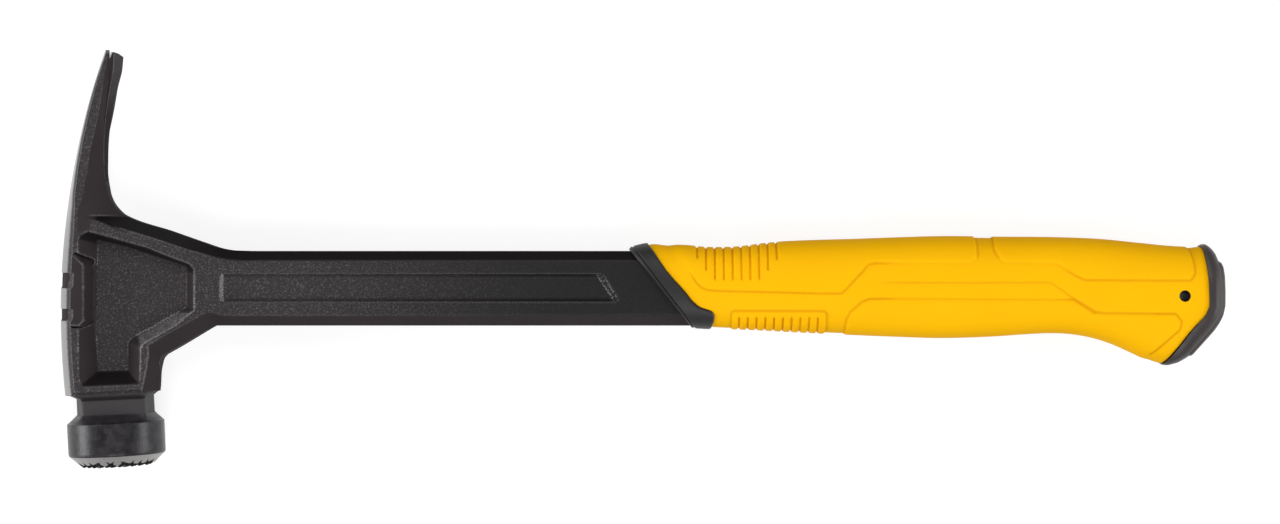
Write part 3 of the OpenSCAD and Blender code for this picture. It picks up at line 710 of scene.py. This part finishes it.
def cheek(x, y):
    """Half thickness of the body seen from its side: plates and facets joined by rounded minima and maxima, with
    the drafted pocket, the boss of the nail starter and the shank's long recess."""
    x, y = np.broadcast_arrays(x, y)
    plate = plate_half(x, y)
    foot = smooth_max(1.4 - (y - HEAD_Y), 0 * y, 0.4)
    h = flanks(x, y, plate) - foot
    h = smooth_min(h, pocket(x, y, plate), 0.7)
    dome = BOSS_HALF - 0.5 * ((x - BOSS_X) / 2.8) ** 2
    boss = dome - 3.5 * smooth_max(outline_distance(x, y, BOSS, 0.3), 0 * x, 0.3)
    h = smooth_max(h, boss, 0.3)
    deep = np.minimum(-outline_distance(x, y, RECESS, RECESS_R) * 1.3, recess_end(x, y) * 0.75)
    deep = smooth_min(deep, RECESS_DEEP + 0 * x, 0.5)
    return np.maximum(h - smooth_max(deep, 0 * x, 0.3), THINNEST)


def settle(x, y, w):
    """Final height of a point: the tines' outer corners are rounded off with the square of the distance outwards,
    and the lower end of the head is canted towards the handle."""
    tip = TINE_ROUND * (np.clip(w - TINE_ROUND_FROM, 0, None) / TINE_ROUND_OVER) ** 2 * ease(y, 58, TIP_Y)
    return y - tip + CANT * (x + 186) * ease(-y, 30, -HEAD_Y)


def forged_body():
    """Cheeks as a height over rows from the face to the tips, the crown as an arc carried along the same rows, and
    walls down to the middle plane or the slot, all mirrored to the other side."""
    gusset = INSIDE_EDGE[INSIDE_EDGE[:, 1] < 14]
    top_knee, top_wall = np.interp([-KNEE_X, -WALL_X], -gusset[:, 0], gusset[:, 1])
    low_wall = np.interp(WALL_X, LOWER_EDGE[:, 0], LOWER_EDGE[:, 1])
    rows = spaced(
        [HEAD_Y, -45.2, low_wall, SHANK_LOW, -19.5, -17.4, -16.9, -4.8, -4.4, -0.7, SHANK_TOP, top_knee, top_wall,
         SLOT_Y, 27.6, 66.6, 70, TIP_Y],
        [0.25, 0.42, 0.42, 0.42, 0.42, 0.1, 0.42, 0.08, 0.42, 0.42, 0.2, 0.42, 0.42, 0.14, 1.3, 0.7, 0.3],
    )
    y = rows[:, None]
    skin = Skin()
    edge = inside(rows)
    slot = slot_half(y)
    strip = strip_half(y)
    face_t = np.linspace(0, 1, 70)[None, :] ** 1.1
    bevel_t = np.linspace(0, 1, 4)[None, :]
    crown_t = 1 - np.linspace(0, 1, 25)[None, ::-1] ** 0.75
    wall_t = np.array([1, 0.96, 0.85, 0.5, 0.2, 0.0])[None, :]

    def lay(x, y, w, mark=0.0):
        skin.patch(x, settle(x, y, w), w, mark)

    def sheet(mask, start, stop, t):
        x = start[mask][:, None] * (1 - t) + stop[mask][:, None] * t
        h = cheek(x, y[mask])
        lay(x, y[mask], h, coat_mark(x, y[mask]))
        return x, h

    every = np.ones(len(rows), bool)
    wall, knee, hand = (np.full(len(rows), place) for place in (WALL_X, KNEE_X, HAND_X))
    face_x, face_w = sheet(every, lip(rows), np.minimum(edge, wall), face_t)
    sheet(edge > WALL_X - TOUCH, wall, np.clip(edge, WALL_X, KNEE_X), np.linspace(0, 1, 46)[None, :])
    sheet((rows >= SHANK_LOW) & (edge > KNEE_X - TOUCH), knee, np.where(rows <= SHANK_LOW, hand, edge),
          np.linspace(0, 1, 30)[None, :])

    # Bevel and crown, from the middle plane or the slot to the cheek
    crown_w = mix(slot, strip, crown_t)
    crown_x = crown(y, crown_w)
    bare = 1 - np.clip(seat_sink(y) / SEAT_DEPTH * 3, 0, 1)
    # On the crown the strip's mark rises from 1 to 1.5 towards the claw tips, painting it paler: painted highlight.
    ground = np.where(crown_t == 1, 0.5, 1 + 0.5 * ease(y, -10, 45))
    lay(crown_x, y, crown_w, bare * ground - (1 - bare))
    bevel_w = mix(strip, cheek(lip(y), y), bevel_t)
    bevel_x = mix(crown(y, strip), lip(y), bevel_t)
    lay(bevel_x, y, bevel_w, bare * np.where(bevel_t == 0, 0.5, 0.0))

    # Walls on the inside
    outer = cheek(edge[:, None], y)
    wall_w = mix(slot, outer, wall_t)
    wall_x = underside(y, wall_w, outer)
    # The inner walls' mark rises from -1 to -0.5 near the tips, lightening them: painted highlight on the lit inside
    # of the tines.
    for mask in (rows <= SHANK_LOW, rows >= SHANK_TOP):
        lay(wall_x[mask], y[mask], wall_w[mask], 0.5 * ease(y[mask], 40, 62) - 1)

    # Shank
    mask = (rows >= SHANK_LOW) & (rows <= SHANK_TOP)
    along = spaced([HAND_X, -18, -5.5, SHANK_END], [2.6, 0.4, 2.0])[None, :]
    h = cheek(along, y[mask])
    skin.patch(along, y[mask], h, coat_mark(along, y[mask]))
    t = wall_t.T
    skin.patch(along, SHANK_TOP, t * h[-1], -1.0)
    skin.patch(along, SHANK_LOW, t * h[0], -1.0)
    skin.patch(SHANK_END, y[mask], wall_t * h[:, -1:], -1.0)
    under = mix(KNEE_X, HAND_X, np.linspace(0, 1, 30)[None, :])
    skin.patch(under, SHANK_LOW, t * cheek(under, np.full_like(under, SHANK_LOW)), -1.0)

    # Lower end of the head and ends of the tines: the section's ring drawn to its base line
    ring_x = np.concatenate([crown_x, bevel_x, face_x], 1)
    ring_w = np.concatenate([crown_w, bevel_w, face_w], 1)
    run = run_along(np.stack([ring_x[-1], ring_w[-1]], -1))
    base_x = mix(crown_x[:, :1], wall_x[:, -1:], run / run[-1])
    for row in (0, -1):
        x, w = mix(base_x[row], ring_x[row], t), mix(slot[row], ring_w[row], t)
        lay(x, rows[row], w)

    # Walls of the slot, with the places of those base lines
    mask = rows >= SLOT_Y
    lay(base_x[mask], y[mask], slot[mask], -1.0)
    skin.piece("forged_head_claw_and_shank", FORGED, "forged_steel", "forged_body")


# Striking end


BELL_X = -184.6
NECK_SHIFT, NECK_WIDE, NECK_THICK = 0.1, 13.4, 10.3
CHAMFER_Y, CHAMFER_TALL = -46.5, 1.6
NECK_GROOVE, NECK_GROOVE_Y = 1.6, -48.0
SHOULDER_Y, SHOULDER_TALL = -53.7, 3.1
FACE_CROWN = 0.25
BEVEL_Y, BEVEL_R, FACE_Y, FACE_R = -68.2, 16.2, -72.0, 12.0
TOOTH_H, TOOTH_PITCH, TOOTH_FLAT = 2.2, 3.1, 0.7


def bar_radius(turn, wide, thick, draft):
    """Distance from the axis to the sides of a drafted bar, in each direction round it."""
    c, s = np.abs(np.cos(turn)), np.abs(np.sin(turn))
    return smooth_min(wide / (c + s * draft), thick / np.maximum(s, 1e-6), 1.2)


def teeth(x, w):
    """Depth below the tooth tops of the milled face: two sets of V-grooves across each other, at 45 degrees to the
    hammer's middle plane, that leave square pyramids with small flats."""
    def cut(u):
        from_ridge = np.abs((u / TOOTH_PITCH) % 1 - 0.5) * TOOTH_PITCH
        return np.clip((from_ridge - TOOTH_FLAT / 2) / (TOOTH_PITCH / 2 - TOOTH_FLAT / 2), 0, 1)
    return TOOTH_H * np.maximum(cut((x + w) * math.sqrt(0.5)), cut((x - w) * math.sqrt(0.5)))


def striking_end():
    """Neck, shoulder, bell, bevel and milled face. Rings round the bell's axis go from a bevelled bar evenly
    to the turned bell along the shoulder. On rings of shrinking radius the end is a cone, the bevel, down to the
    milled face, whose grooves run out in it. The whole end is canted towards the handle."""
    turn = np.linspace(0, 2 * np.pi, 320, endpoint=False)[None, :]
    skin = Skin()

    def rings(height, r, mark=0.0, shift=0.0):
        x, w = r * np.cos(turn) + shift, r * np.sin(turn)
        skin.patch(BELL_X + x - CANT * (height - HEAD_Y), height + CANT * x, w, mark, sides=(1,), closed=True)

    turned = np.array([
        # height, radius, bright
        (-40.0, 16.75, 0), (-62.0, 16.75, 0), (-67.0, 16.72, 0), (-67.6, 16.65, 0), (-67.95, 16.45, 0),
        (BEVEL_Y, BEVEL_R, 1),
    ])
    height = -spaced([44.5, 46.0, 49.2, 53.2, 57.0, 66.5, -BEVEL_Y], [0.75, 0.16, 0.6, 0.13, 0.7, 0.1])[:, None]
    flare = np.clip((SHOULDER_Y - height) / SHOULDER_TALL, 0, 1)
    under_head = 1 - np.clip((CHAMFER_Y - height) / CHAMFER_TALL, 0, 1)
    to_crown = np.cos(turn) < 0
    wide = NECK_WIDE + np.where(to_crown, 3.4, 2.1) * under_head
    draft = np.where(to_crown, 0.37, 0.14 + 0.3 * under_head)
    thick = NECK_THICK - NECK_GROOVE * swell(height - NECK_GROOVE_Y, 0.5)
    bar = bar_radius(turn, wide, thick, draft)
    bell = np.interp(-height, -turned[:, 0], turned[:, 1])
    paler = 0.25 * (1 - 0.5 * ease(flare, 0.0, 0.15)) * (1 - ease(flare, 0.75, 1.0))
    bright = np.interp(-height, -turned[:, 0], turned[:, 2]) + paler
    rings(height, mix(bar, bell, flare), bright, NECK_SHIFT * (1 - flare))
    rings(np.full((3, 1), height[0, 0]), bar[:1] * np.linspace(1, 0, 3)[:, None], 0.25, NECK_SHIFT)
    r = spaced([0, 11.6, 14.6, BEVEL_R], [0.2, 0.12, 0.4])[::-1, None]
    cone = mix(BEVEL_Y, FACE_Y, (BEVEL_R - r) / (BEVEL_R - FACE_R))
    crowned = FACE_CROWN * np.clip(1 - (r / FACE_R) ** 2, 0, None)
    milled = FACE_Y - crowned + teeth(r * np.cos(turn), r * np.sin(turn))
    rings(np.maximum(cone, milled), r, np.where(cone > milled, 1.0, -1.0))
    skin.piece("neck_bell_and_milled_face", BELL, "forged_steel", "forged_body", sharp=30)


# Grip


GRIP_TOP = [
    (-8, 3.2), (-4.5, 4.1), (0, 5.2), (2.4, 5.7), (9.3, 5.2), (16.3, 4.9), (19.8, 4.5), (26.8, 4.3), (33.8, 4.6),
    (40.7, 5.5), (47.7, 6.2), (58.2, 6.7), (72.2, 7.1), (86.1, 7.6), (103.6, 8.1), (124.5, 7.9), (145.4, 7.7),
    (159.4, 7.1), (173.4, 5.7), (183.8, 4.7), (190.8, 4.5), (194.3, 5.0), (199, 5.2),
]
GRIP_LOW = [
    (-8, -23.4), (16.3, -23.7), (25, -24.2), (37.3, -24.7), (54.7, -25.6), (72.2, -26.4), (89.6, -27.1),
    (103.6, -27.5), (114, -27.3), (124.5, -26.8), (131.5, -26.3), (142, -25.8), (148.9, -26.1), (155.9, -27.3),
    (162.9, -29.4), (169.9, -32.5), (176.9, -35.7), (180.3, -36.8), (186, -38.0), (199, -38.5),
]
GRIP_HALF = [
    (-8, 9.6), (2, 10.0), (10, 10.4), (27, 11.0), (41, 12.0), (60, 13.0), (87, 13.5), (104, 13.5), (124, 13.3),
    (142, 13.0), (156, 12.9), (173, 13.0), (185, 13.1), (195, 12.9), (199, 12.4),
]
COLLAR_REAR = [
    (-30, 23.8), (-24.2, 23.8), (-21.5, 24.5), (-19.2, 24.2), (-18, 22.8), (-17, 19.8), (-15.5, 17.8),
    (-11.8, 14.8), (-3.8, 8.1), (4.4, 2.8), (8, 0.2),
]
CAP_EDGE = [
    (-40, 178.4), (-36.4, 180.9), (-30.6, 185.0), (-24.8, 189.1), (-19.2, 194.0), (-16.3, 195.2), (-7.2, 195.1),
    (-0.9, 194.6), (2.5, 194.3), (4.7, 194.2), (8, 194.1),
]
CAP_OUTER = [
    (194.5, 4.9), (195.2, 5.55), (195.9, 5.5), (197.5, 4.5), (199.9, 2.2), (200.9, 0.2), (201.4, -0.7),
    (202.3, -2.5), (202.8, -5.8), (202.95, -11.0), (202.9, -16.2), (202.2, -19.5), (200.8, -22.4), (196.0, -27.8),
    (191.2, -33.2), (189.5, -34.7), (186.2, -36.4), (182.8, -37.15), (181.4, -36.95),
]
PANELS = [
    [(9.9, 30), (9.9, 4.6), (13.6, -0.6), (17.5, -6.4), (18.9, -8.4), (20.4, -9.7), (22.2, -10.5), (24.6, -10.8),
     (33, -11.05), (60.6, -11.75), (68.4, -11.75), (77.6, -1.6), (79.8, -1), (113.6, -1), (115.3, 1.5), (115.3, 30)],
    [(121.2, 30), (121.4, 4), (122.1, 2.1), (124.3, -0.8), (142.5, -1), (148.9, -5.3), (152.2, -7), (188.9, -7),
     (190.4, -4.4), (190.1, 0.2), (189.4, 3.7), (189.4, 30)],
    [(30.6, -60), (30.6, -18.3), (63.2, -18.3), (63.2, -60)],
    [(69.9, -60), (69.9, -25.2), (70.4, -21.1), (71.5, -18.7), (75.5, -14.9), (78.2, -13.9), (88.4, -13.75),
     (148.4, -14.2), (155.4, -18.4), (158.6, -19), (183.5, -19), (185.5, -21.6), (184.9, -24.4), (175.2, -33.8),
     (171, -60)],
]
MIDLINE = np.array([(75.0, -8.0), (140.5, -8.0), (155.8, -18.8)])
TOP_GROOVES = [(18.7 + 3.05 * k, low) for k, low in enumerate([0.5, -3.7] + [-7.1] * 6 + [-3.7, 0])]
LOW_GROOVES = [33.2 + 3.02 * k for k in range(10)]
GROOVE_HALF, GROOVE_DEEP, PANEL_HIGH, PANEL_R, MIDLINE_DEEP = 0.36, 0.75, 0.5, 1.2, 0.16
TETHER, TETHER_R = (186.8, -12.7), 2.0
OVAL, GRIP_SIDES = 2.5, 232
CORE_FRONT, CORE_BACK, CORE_INSET = 16, 181, 3.0


def grip_lines(x):
    """The grip's top line, bottom line and half width at place x."""
    return [flowing(x, knots) for knots in (GRIP_TOP, GRIP_LOW, GRIP_HALF)]


def grip_point(x, turn, proud=0.0):
    """A point of the grip at place x and direction turn (0 at the top): a rounded oval of power OVAL between the
    grip's top and bottom lines, grown by proud."""
    top, low, half = grip_lines(x)
    c, s = np.cos(turn), np.sin(turn)
    tall, wide = (top - low) / 2 + proud, half + proud
    return (
        (top + low) / 2 + tall * np.sign(c) * np.abs(c) ** (2 / OVAL),
        wide * np.sign(s) * np.abs(s) ** (2 / OVAL),
    )


def on_edge(turn, knots, shift=0.0, proud=0.0):
    """Where the grip's surface, in each direction turn, crosses an edge that is given as x at each height y: found
    by putting the height back into the edge until it holds still."""
    x = np.full_like(turn, np.mean([b for _, b in knots]))
    for _ in range(40):
        y, _ = grip_point(x, turn, proud)
        x = 0.5 * x + 0.5 * (flowing(y, knots) + shift)
    return x


def relief(x, y):
    """Height of the grip's surface against its smooth form: level on the panels, half a millimetre lower between
    them, with the grooves between the ribs and the faint middle line. Also how far a point lies in such a line."""
    d = np.min([outline_distance(x, y, panel, PANEL_R) for panel in PANELS], axis=0)
    soft = 1 - ease(x, 14.0, 18.5)
    faint = 0.5 * window(x, 80, 90, 142, 150) * window(y, -17, -15, 0, 2)
    line = swell(d - 0.2, 0.5) * (1 - soft) * (1 - faint)
    h = -PANEL_HIGH * ease(d / (1 + 3 * soft), -0.6, 0.5) - 0.12 * swell(d - 0.1, 0.5) * (1 - soft)
    grooves = [(at, ease(y, low - 0.4, low + 0.6)) for at, low in TOP_GROOVES]
    for at, reach in grooves + [(at, ease(-y, 19.9, 20.9)) for at in LOW_GROOVES]:
        groove = swell(x - at, GROOVE_HALF) * reach
        h, line = h - GROOVE_DEEP * groove, line + groove
    mid = swell(line_distance(x, y, MIDLINE), 0.5) * ease(x, 72, 90)
    return h - MIDLINE_DEEP * mid, np.clip(line + 0.7 * mid, 0, 1)


def raised(x, turn, h):
    """A point of the grip moved out by the height h: its smooth place plus h times the way to a grip 1 mm larger."""
    near, far = grip_point(x, turn), grip_point(x, turn, 1.0)
    return [mix(a, b, h) for a, b in zip(near, far)]


def tube(x, y, w, mark=0.0):
    """A closed tube through rings of points: each end ring is drawn to its own middle."""
    kind = {"sides": (1,), "closed": True}
    skin = Skin()
    skin.patch(x, y, w, mark, **kind)
    t = np.array([0, 0.12, 0.5, 1.0])[:, None]
    for end in (0, -1):
        mid_x, mid_y = x[end].mean(), (y[end].max() + y[end].min()) / 2
        skin.patch(mix(x[end], mid_x, t), mix(y[end], mid_y, t), w[end] * (1 - t), **kind)
    return skin


def grip_sleeve():
    """The soft sleeve: the grip's ovals from the collar to the cap, displaced by the relief along the direction
    from the middle line, with both ends drawn in under their neighbours and the tether hole cut through."""
    turn = np.linspace(0, 2 * np.pi, GRIP_SIDES, endpoint=False)
    turn = turn + 0.25 * np.sin(2 * turn)
    front, back = on_edge(turn, COLLAR_REAR), on_edge(turn, CAP_EDGE)
    first = mix(front, 28, np.linspace(0, 1, 72)[:, None])
    middle = spaced([28, 64, 80, 112, 126, 140, 158, 176], [0.34, 0.4, 1.6, 0.4, 1.6, 0.45, 1.2])[1:, None] + 0 * turn
    last = mix(176, back, np.linspace(0, 1, 34)[1:, None])
    x = np.concatenate([first, middle, last])
    h, line = relief(x, grip_point(x, turn)[0])
    near = np.minimum(x - front, back - x)
    h = h - 0.35 * np.exp(-np.clip(near, 0, None) / 0.35)
    # The relief's line share becomes the attribute mark, which the finish turns darker orange: painted shade in
    # grooves and lines.
    skin = tube(x, *raised(x, turn, h), line)
    skin.piece("soft_grip_sleeve", YELLOW, "yellow_grip", "grip_sleeve", sharp=60, hole=(*TETHER, TETHER_R))


def grip_core():
    """The rigid core inside the sleeve: the grip's ovals drawn in evenly, with shut ends."""
    turn = np.linspace(0, 2 * np.pi, 64, endpoint=False)
    x = np.linspace(CORE_FRONT, CORE_BACK, 60)[:, None] + 0 * turn
    tube(x, *grip_point(x, turn, -CORE_INSET)).piece("rigid_grip_core", LINING, "core_plastic", "grip_core", sharp=60)


def front_collar():
    """The collar: the grip's ovals between its slanted front edge and the sleeve, standing slightly proud, with
    a rounded front edge and a front face drawn in to the shank."""
    turn = np.linspace(0, 2 * np.pi, GRIP_SIDES, endpoint=False)
    edge = [(y, -4.9 + (4.2 - y) * 0.755) for y in (-30.0, -20.0, -10.0, 0.0, 8.0)]
    front, back = on_edge(turn, edge, 0.0, 0.3), on_edge(turn, COLLAR_REAR, 0.05, 0.2)
    t = np.concatenate([np.linspace(0, 0.3, 26), np.linspace(0.3, 1, 22)[1:]])[:, None]
    x = mix(front, back, t)
    from_front, from_back = x - front, back - x
    h = 0.35 - 0.9 * np.exp(-np.clip(from_front, 0, None) / 0.45) - 0.8 * np.exp(-np.clip(from_back, 0, None) / 0.35)
    h = h - 0.4 * swell(from_front - 1.4, 0.25)
    tube(x, *raised(x, turn, h)).piece("front_collar_band", COLLAR, "black_trim", "front_collar", sharp=60)


def butt_cap():
    """The butt cap: a rounded cross profile carried along the cap's outer line, from the side edges, which lie on
    the sleeve's edge, over its sole, with a raised pad in the middle."""
    path = np.array(CAP_OUTER)
    run = run_along(path)
    s = np.linspace(0, run[-1], 200)
    outer_x, outer_y = (np.interp(s, run, part) for part in path.T)
    outer_x = outer_x - 0.5 * ease(outer_x, 198, 201)
    for line in (outer_x, outer_y) * 3:
        line[1:-1] = (line[:-2] + 2 * line[1:-1] + line[2:]) / 4
    share = s / run[-1]
    edge = np.array(CAP_EDGE)[1:-1]
    edge_run = run_along(edge)
    back = edge_run[-1] * (1 - share)
    inner_y, inner_x = (np.interp(back, edge_run, part) for part in edge.T)
    top, low, half = grip_lines(inner_x)
    level = np.clip(np.abs((inner_y - (top + low) / 2) / ((top - low) / 2)), 0, 0.995)
    wide = (half * (1 - level ** OVAL) ** (1 / OVAL) + 0.15)[:, None]
    u = np.linspace(-1, 1, 81)[None, :]
    drop = 1 - (1 - np.abs(u) ** OVAL) ** 0.42
    pad = window(share, 0.165, 0.185, 0.82, 0.84)
    pad = pad[:, None] * (1 - ease(np.abs(u), 0.66, 0.74))
    sink = drop + (1 - drop) * 0.10 * (1 - pad)
    x = mix(outer_x[:, None], inner_x[:, None], sink)
    y = mix(outer_y[:, None], inner_y[:, None], sink)
    w = wide * np.sign(u) * np.abs(u) ** 0.9
    skin = Skin()
    skin.patch(x, y, w, sides=(1,))
    skin.patch(inner_x[:, None], inner_y[:, None], w, sides=(1,))
    t = np.array([0.0, 1.0])[:, None]
    for row in (0, -1):
        skin.patch(mix(x[row], inner_x[row], t), mix(y[row], inner_y[row], t), w[row], sides=(1,))
    skin.piece("butt_cap_shell", CAP, "black_trim", "butt_cap", sharp=40)


forged_body()
striking_end()
grip_sleeve()
grip_core()
front_collar()
butt_cap()


def refinish(node, finish):
    """A CAD node keeps its shape and takes a new finish."""
    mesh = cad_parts[node].data
    mesh.materials.clear()
    mesh.materials.append(finish)


refinish("nail_magnet", plated_magnet())
refinish("tether_bush", LINING)


# Floor, light and camera


def floor():
    """A wide white floor that keeps shadows. To the camera and in reflections it also shines a little, so that it
    reads as white."""
    mesh = bpy.data.meshes.new("floor")
    reach, level = 4.0, -0.0004
    corners = [(a * reach, b * reach, level) for a, b in ((-1, -1), (1, -1), (1, 1), (-1, 1))]
    mesh.from_pydata(corners, [], [(0, 1, 2, 3)])
    f = Finish("white_floor")
    camera, glossy, through = (f.node("ShaderNodeLightPath", {}, {}, out=k) for k in (0, 3, 6))
    seen = (camera + glossy + through).clipped()
    matte = f.node("ShaderNodeBsdfDiffuse", {}, {"Color": (0.36, 0.36, 0.36)})
    shine = f.node("ShaderNodeEmission", {}, {"Color": (1.0, 1.0, 1.0), "Strength": seen * 0.76})
    mesh.materials.append(f.end(f.node("ShaderNodeAddShader", {}, {0: matte, 1: shine})))
    piece = put("floor", mesh)


def softbox(name, place, aim, size, power):
    """A square area light that faces a point."""
    lamp = bpy.data.lights.new(name, "AREA")
    lamp.shape, lamp.size, lamp.energy = "SQUARE", size, power
    thing = put(name, lamp)
    way = np.array(place) - np.array(aim)
    flat = math.hypot(way[0], way[1])
    thing.location = place
    thing.rotation_euler = (math.atan2(flat, way[2]), 0, math.atan2(way[1], way[0]) + math.pi / 2)


def studio():
    """Soft lights from above on the face side and the claw side, lower ones left and right, and a dim surround."""
    softbox("face_softbox", (0, -0.85, 1.25), (0, 0, 0), 0.8, 10.5)
    softbox("claw_softbox", (0, 0.8, 1.3), (0, 0, 0), 0.8, 7.5)
    softbox("left_softbox", (-1.5, -0.1, 0.4), (-0.1, 0, 0), 0.6, 12)
    softbox("right_softbox", (1.5, -0.1, 0.4), (0.1, 0, 0), 0.6, 9)
    world = bpy.data.worlds.new("pale_surround")
    bpy.context.scene.world = world
    world.use_nodes = True
    glow = world.node_tree.nodes["Background"].inputs
    glow["Color"].default_value, glow["Strength"].default_value = (1, 1, 1, 1), 0.28


def camera():
    """Straight above the middle of the picture, a metre over the hammer's middle plane: the photo's 1280 pixels
    span 446.8 mm there."""
    reach, span = 1000.0, 446.8
    lens = bpy.data.cameras.new("camera")
    lens.sensor_fit, lens.sensor_width = "HORIZONTAL", 36.0
    lens.lens = lens.sensor_width * reach / span
    lens.clip_start, lens.clip_end = 0.01, 50
    thing = put("camera", lens)
    thing.location = (-1.13 * MM, -0.96 * MM, (LIE + reach) * MM)
    bpy.context.scene.camera = thing


floor()
studio()
camera()
bpy.context.scene.view_settings.view_transform = "Standard"
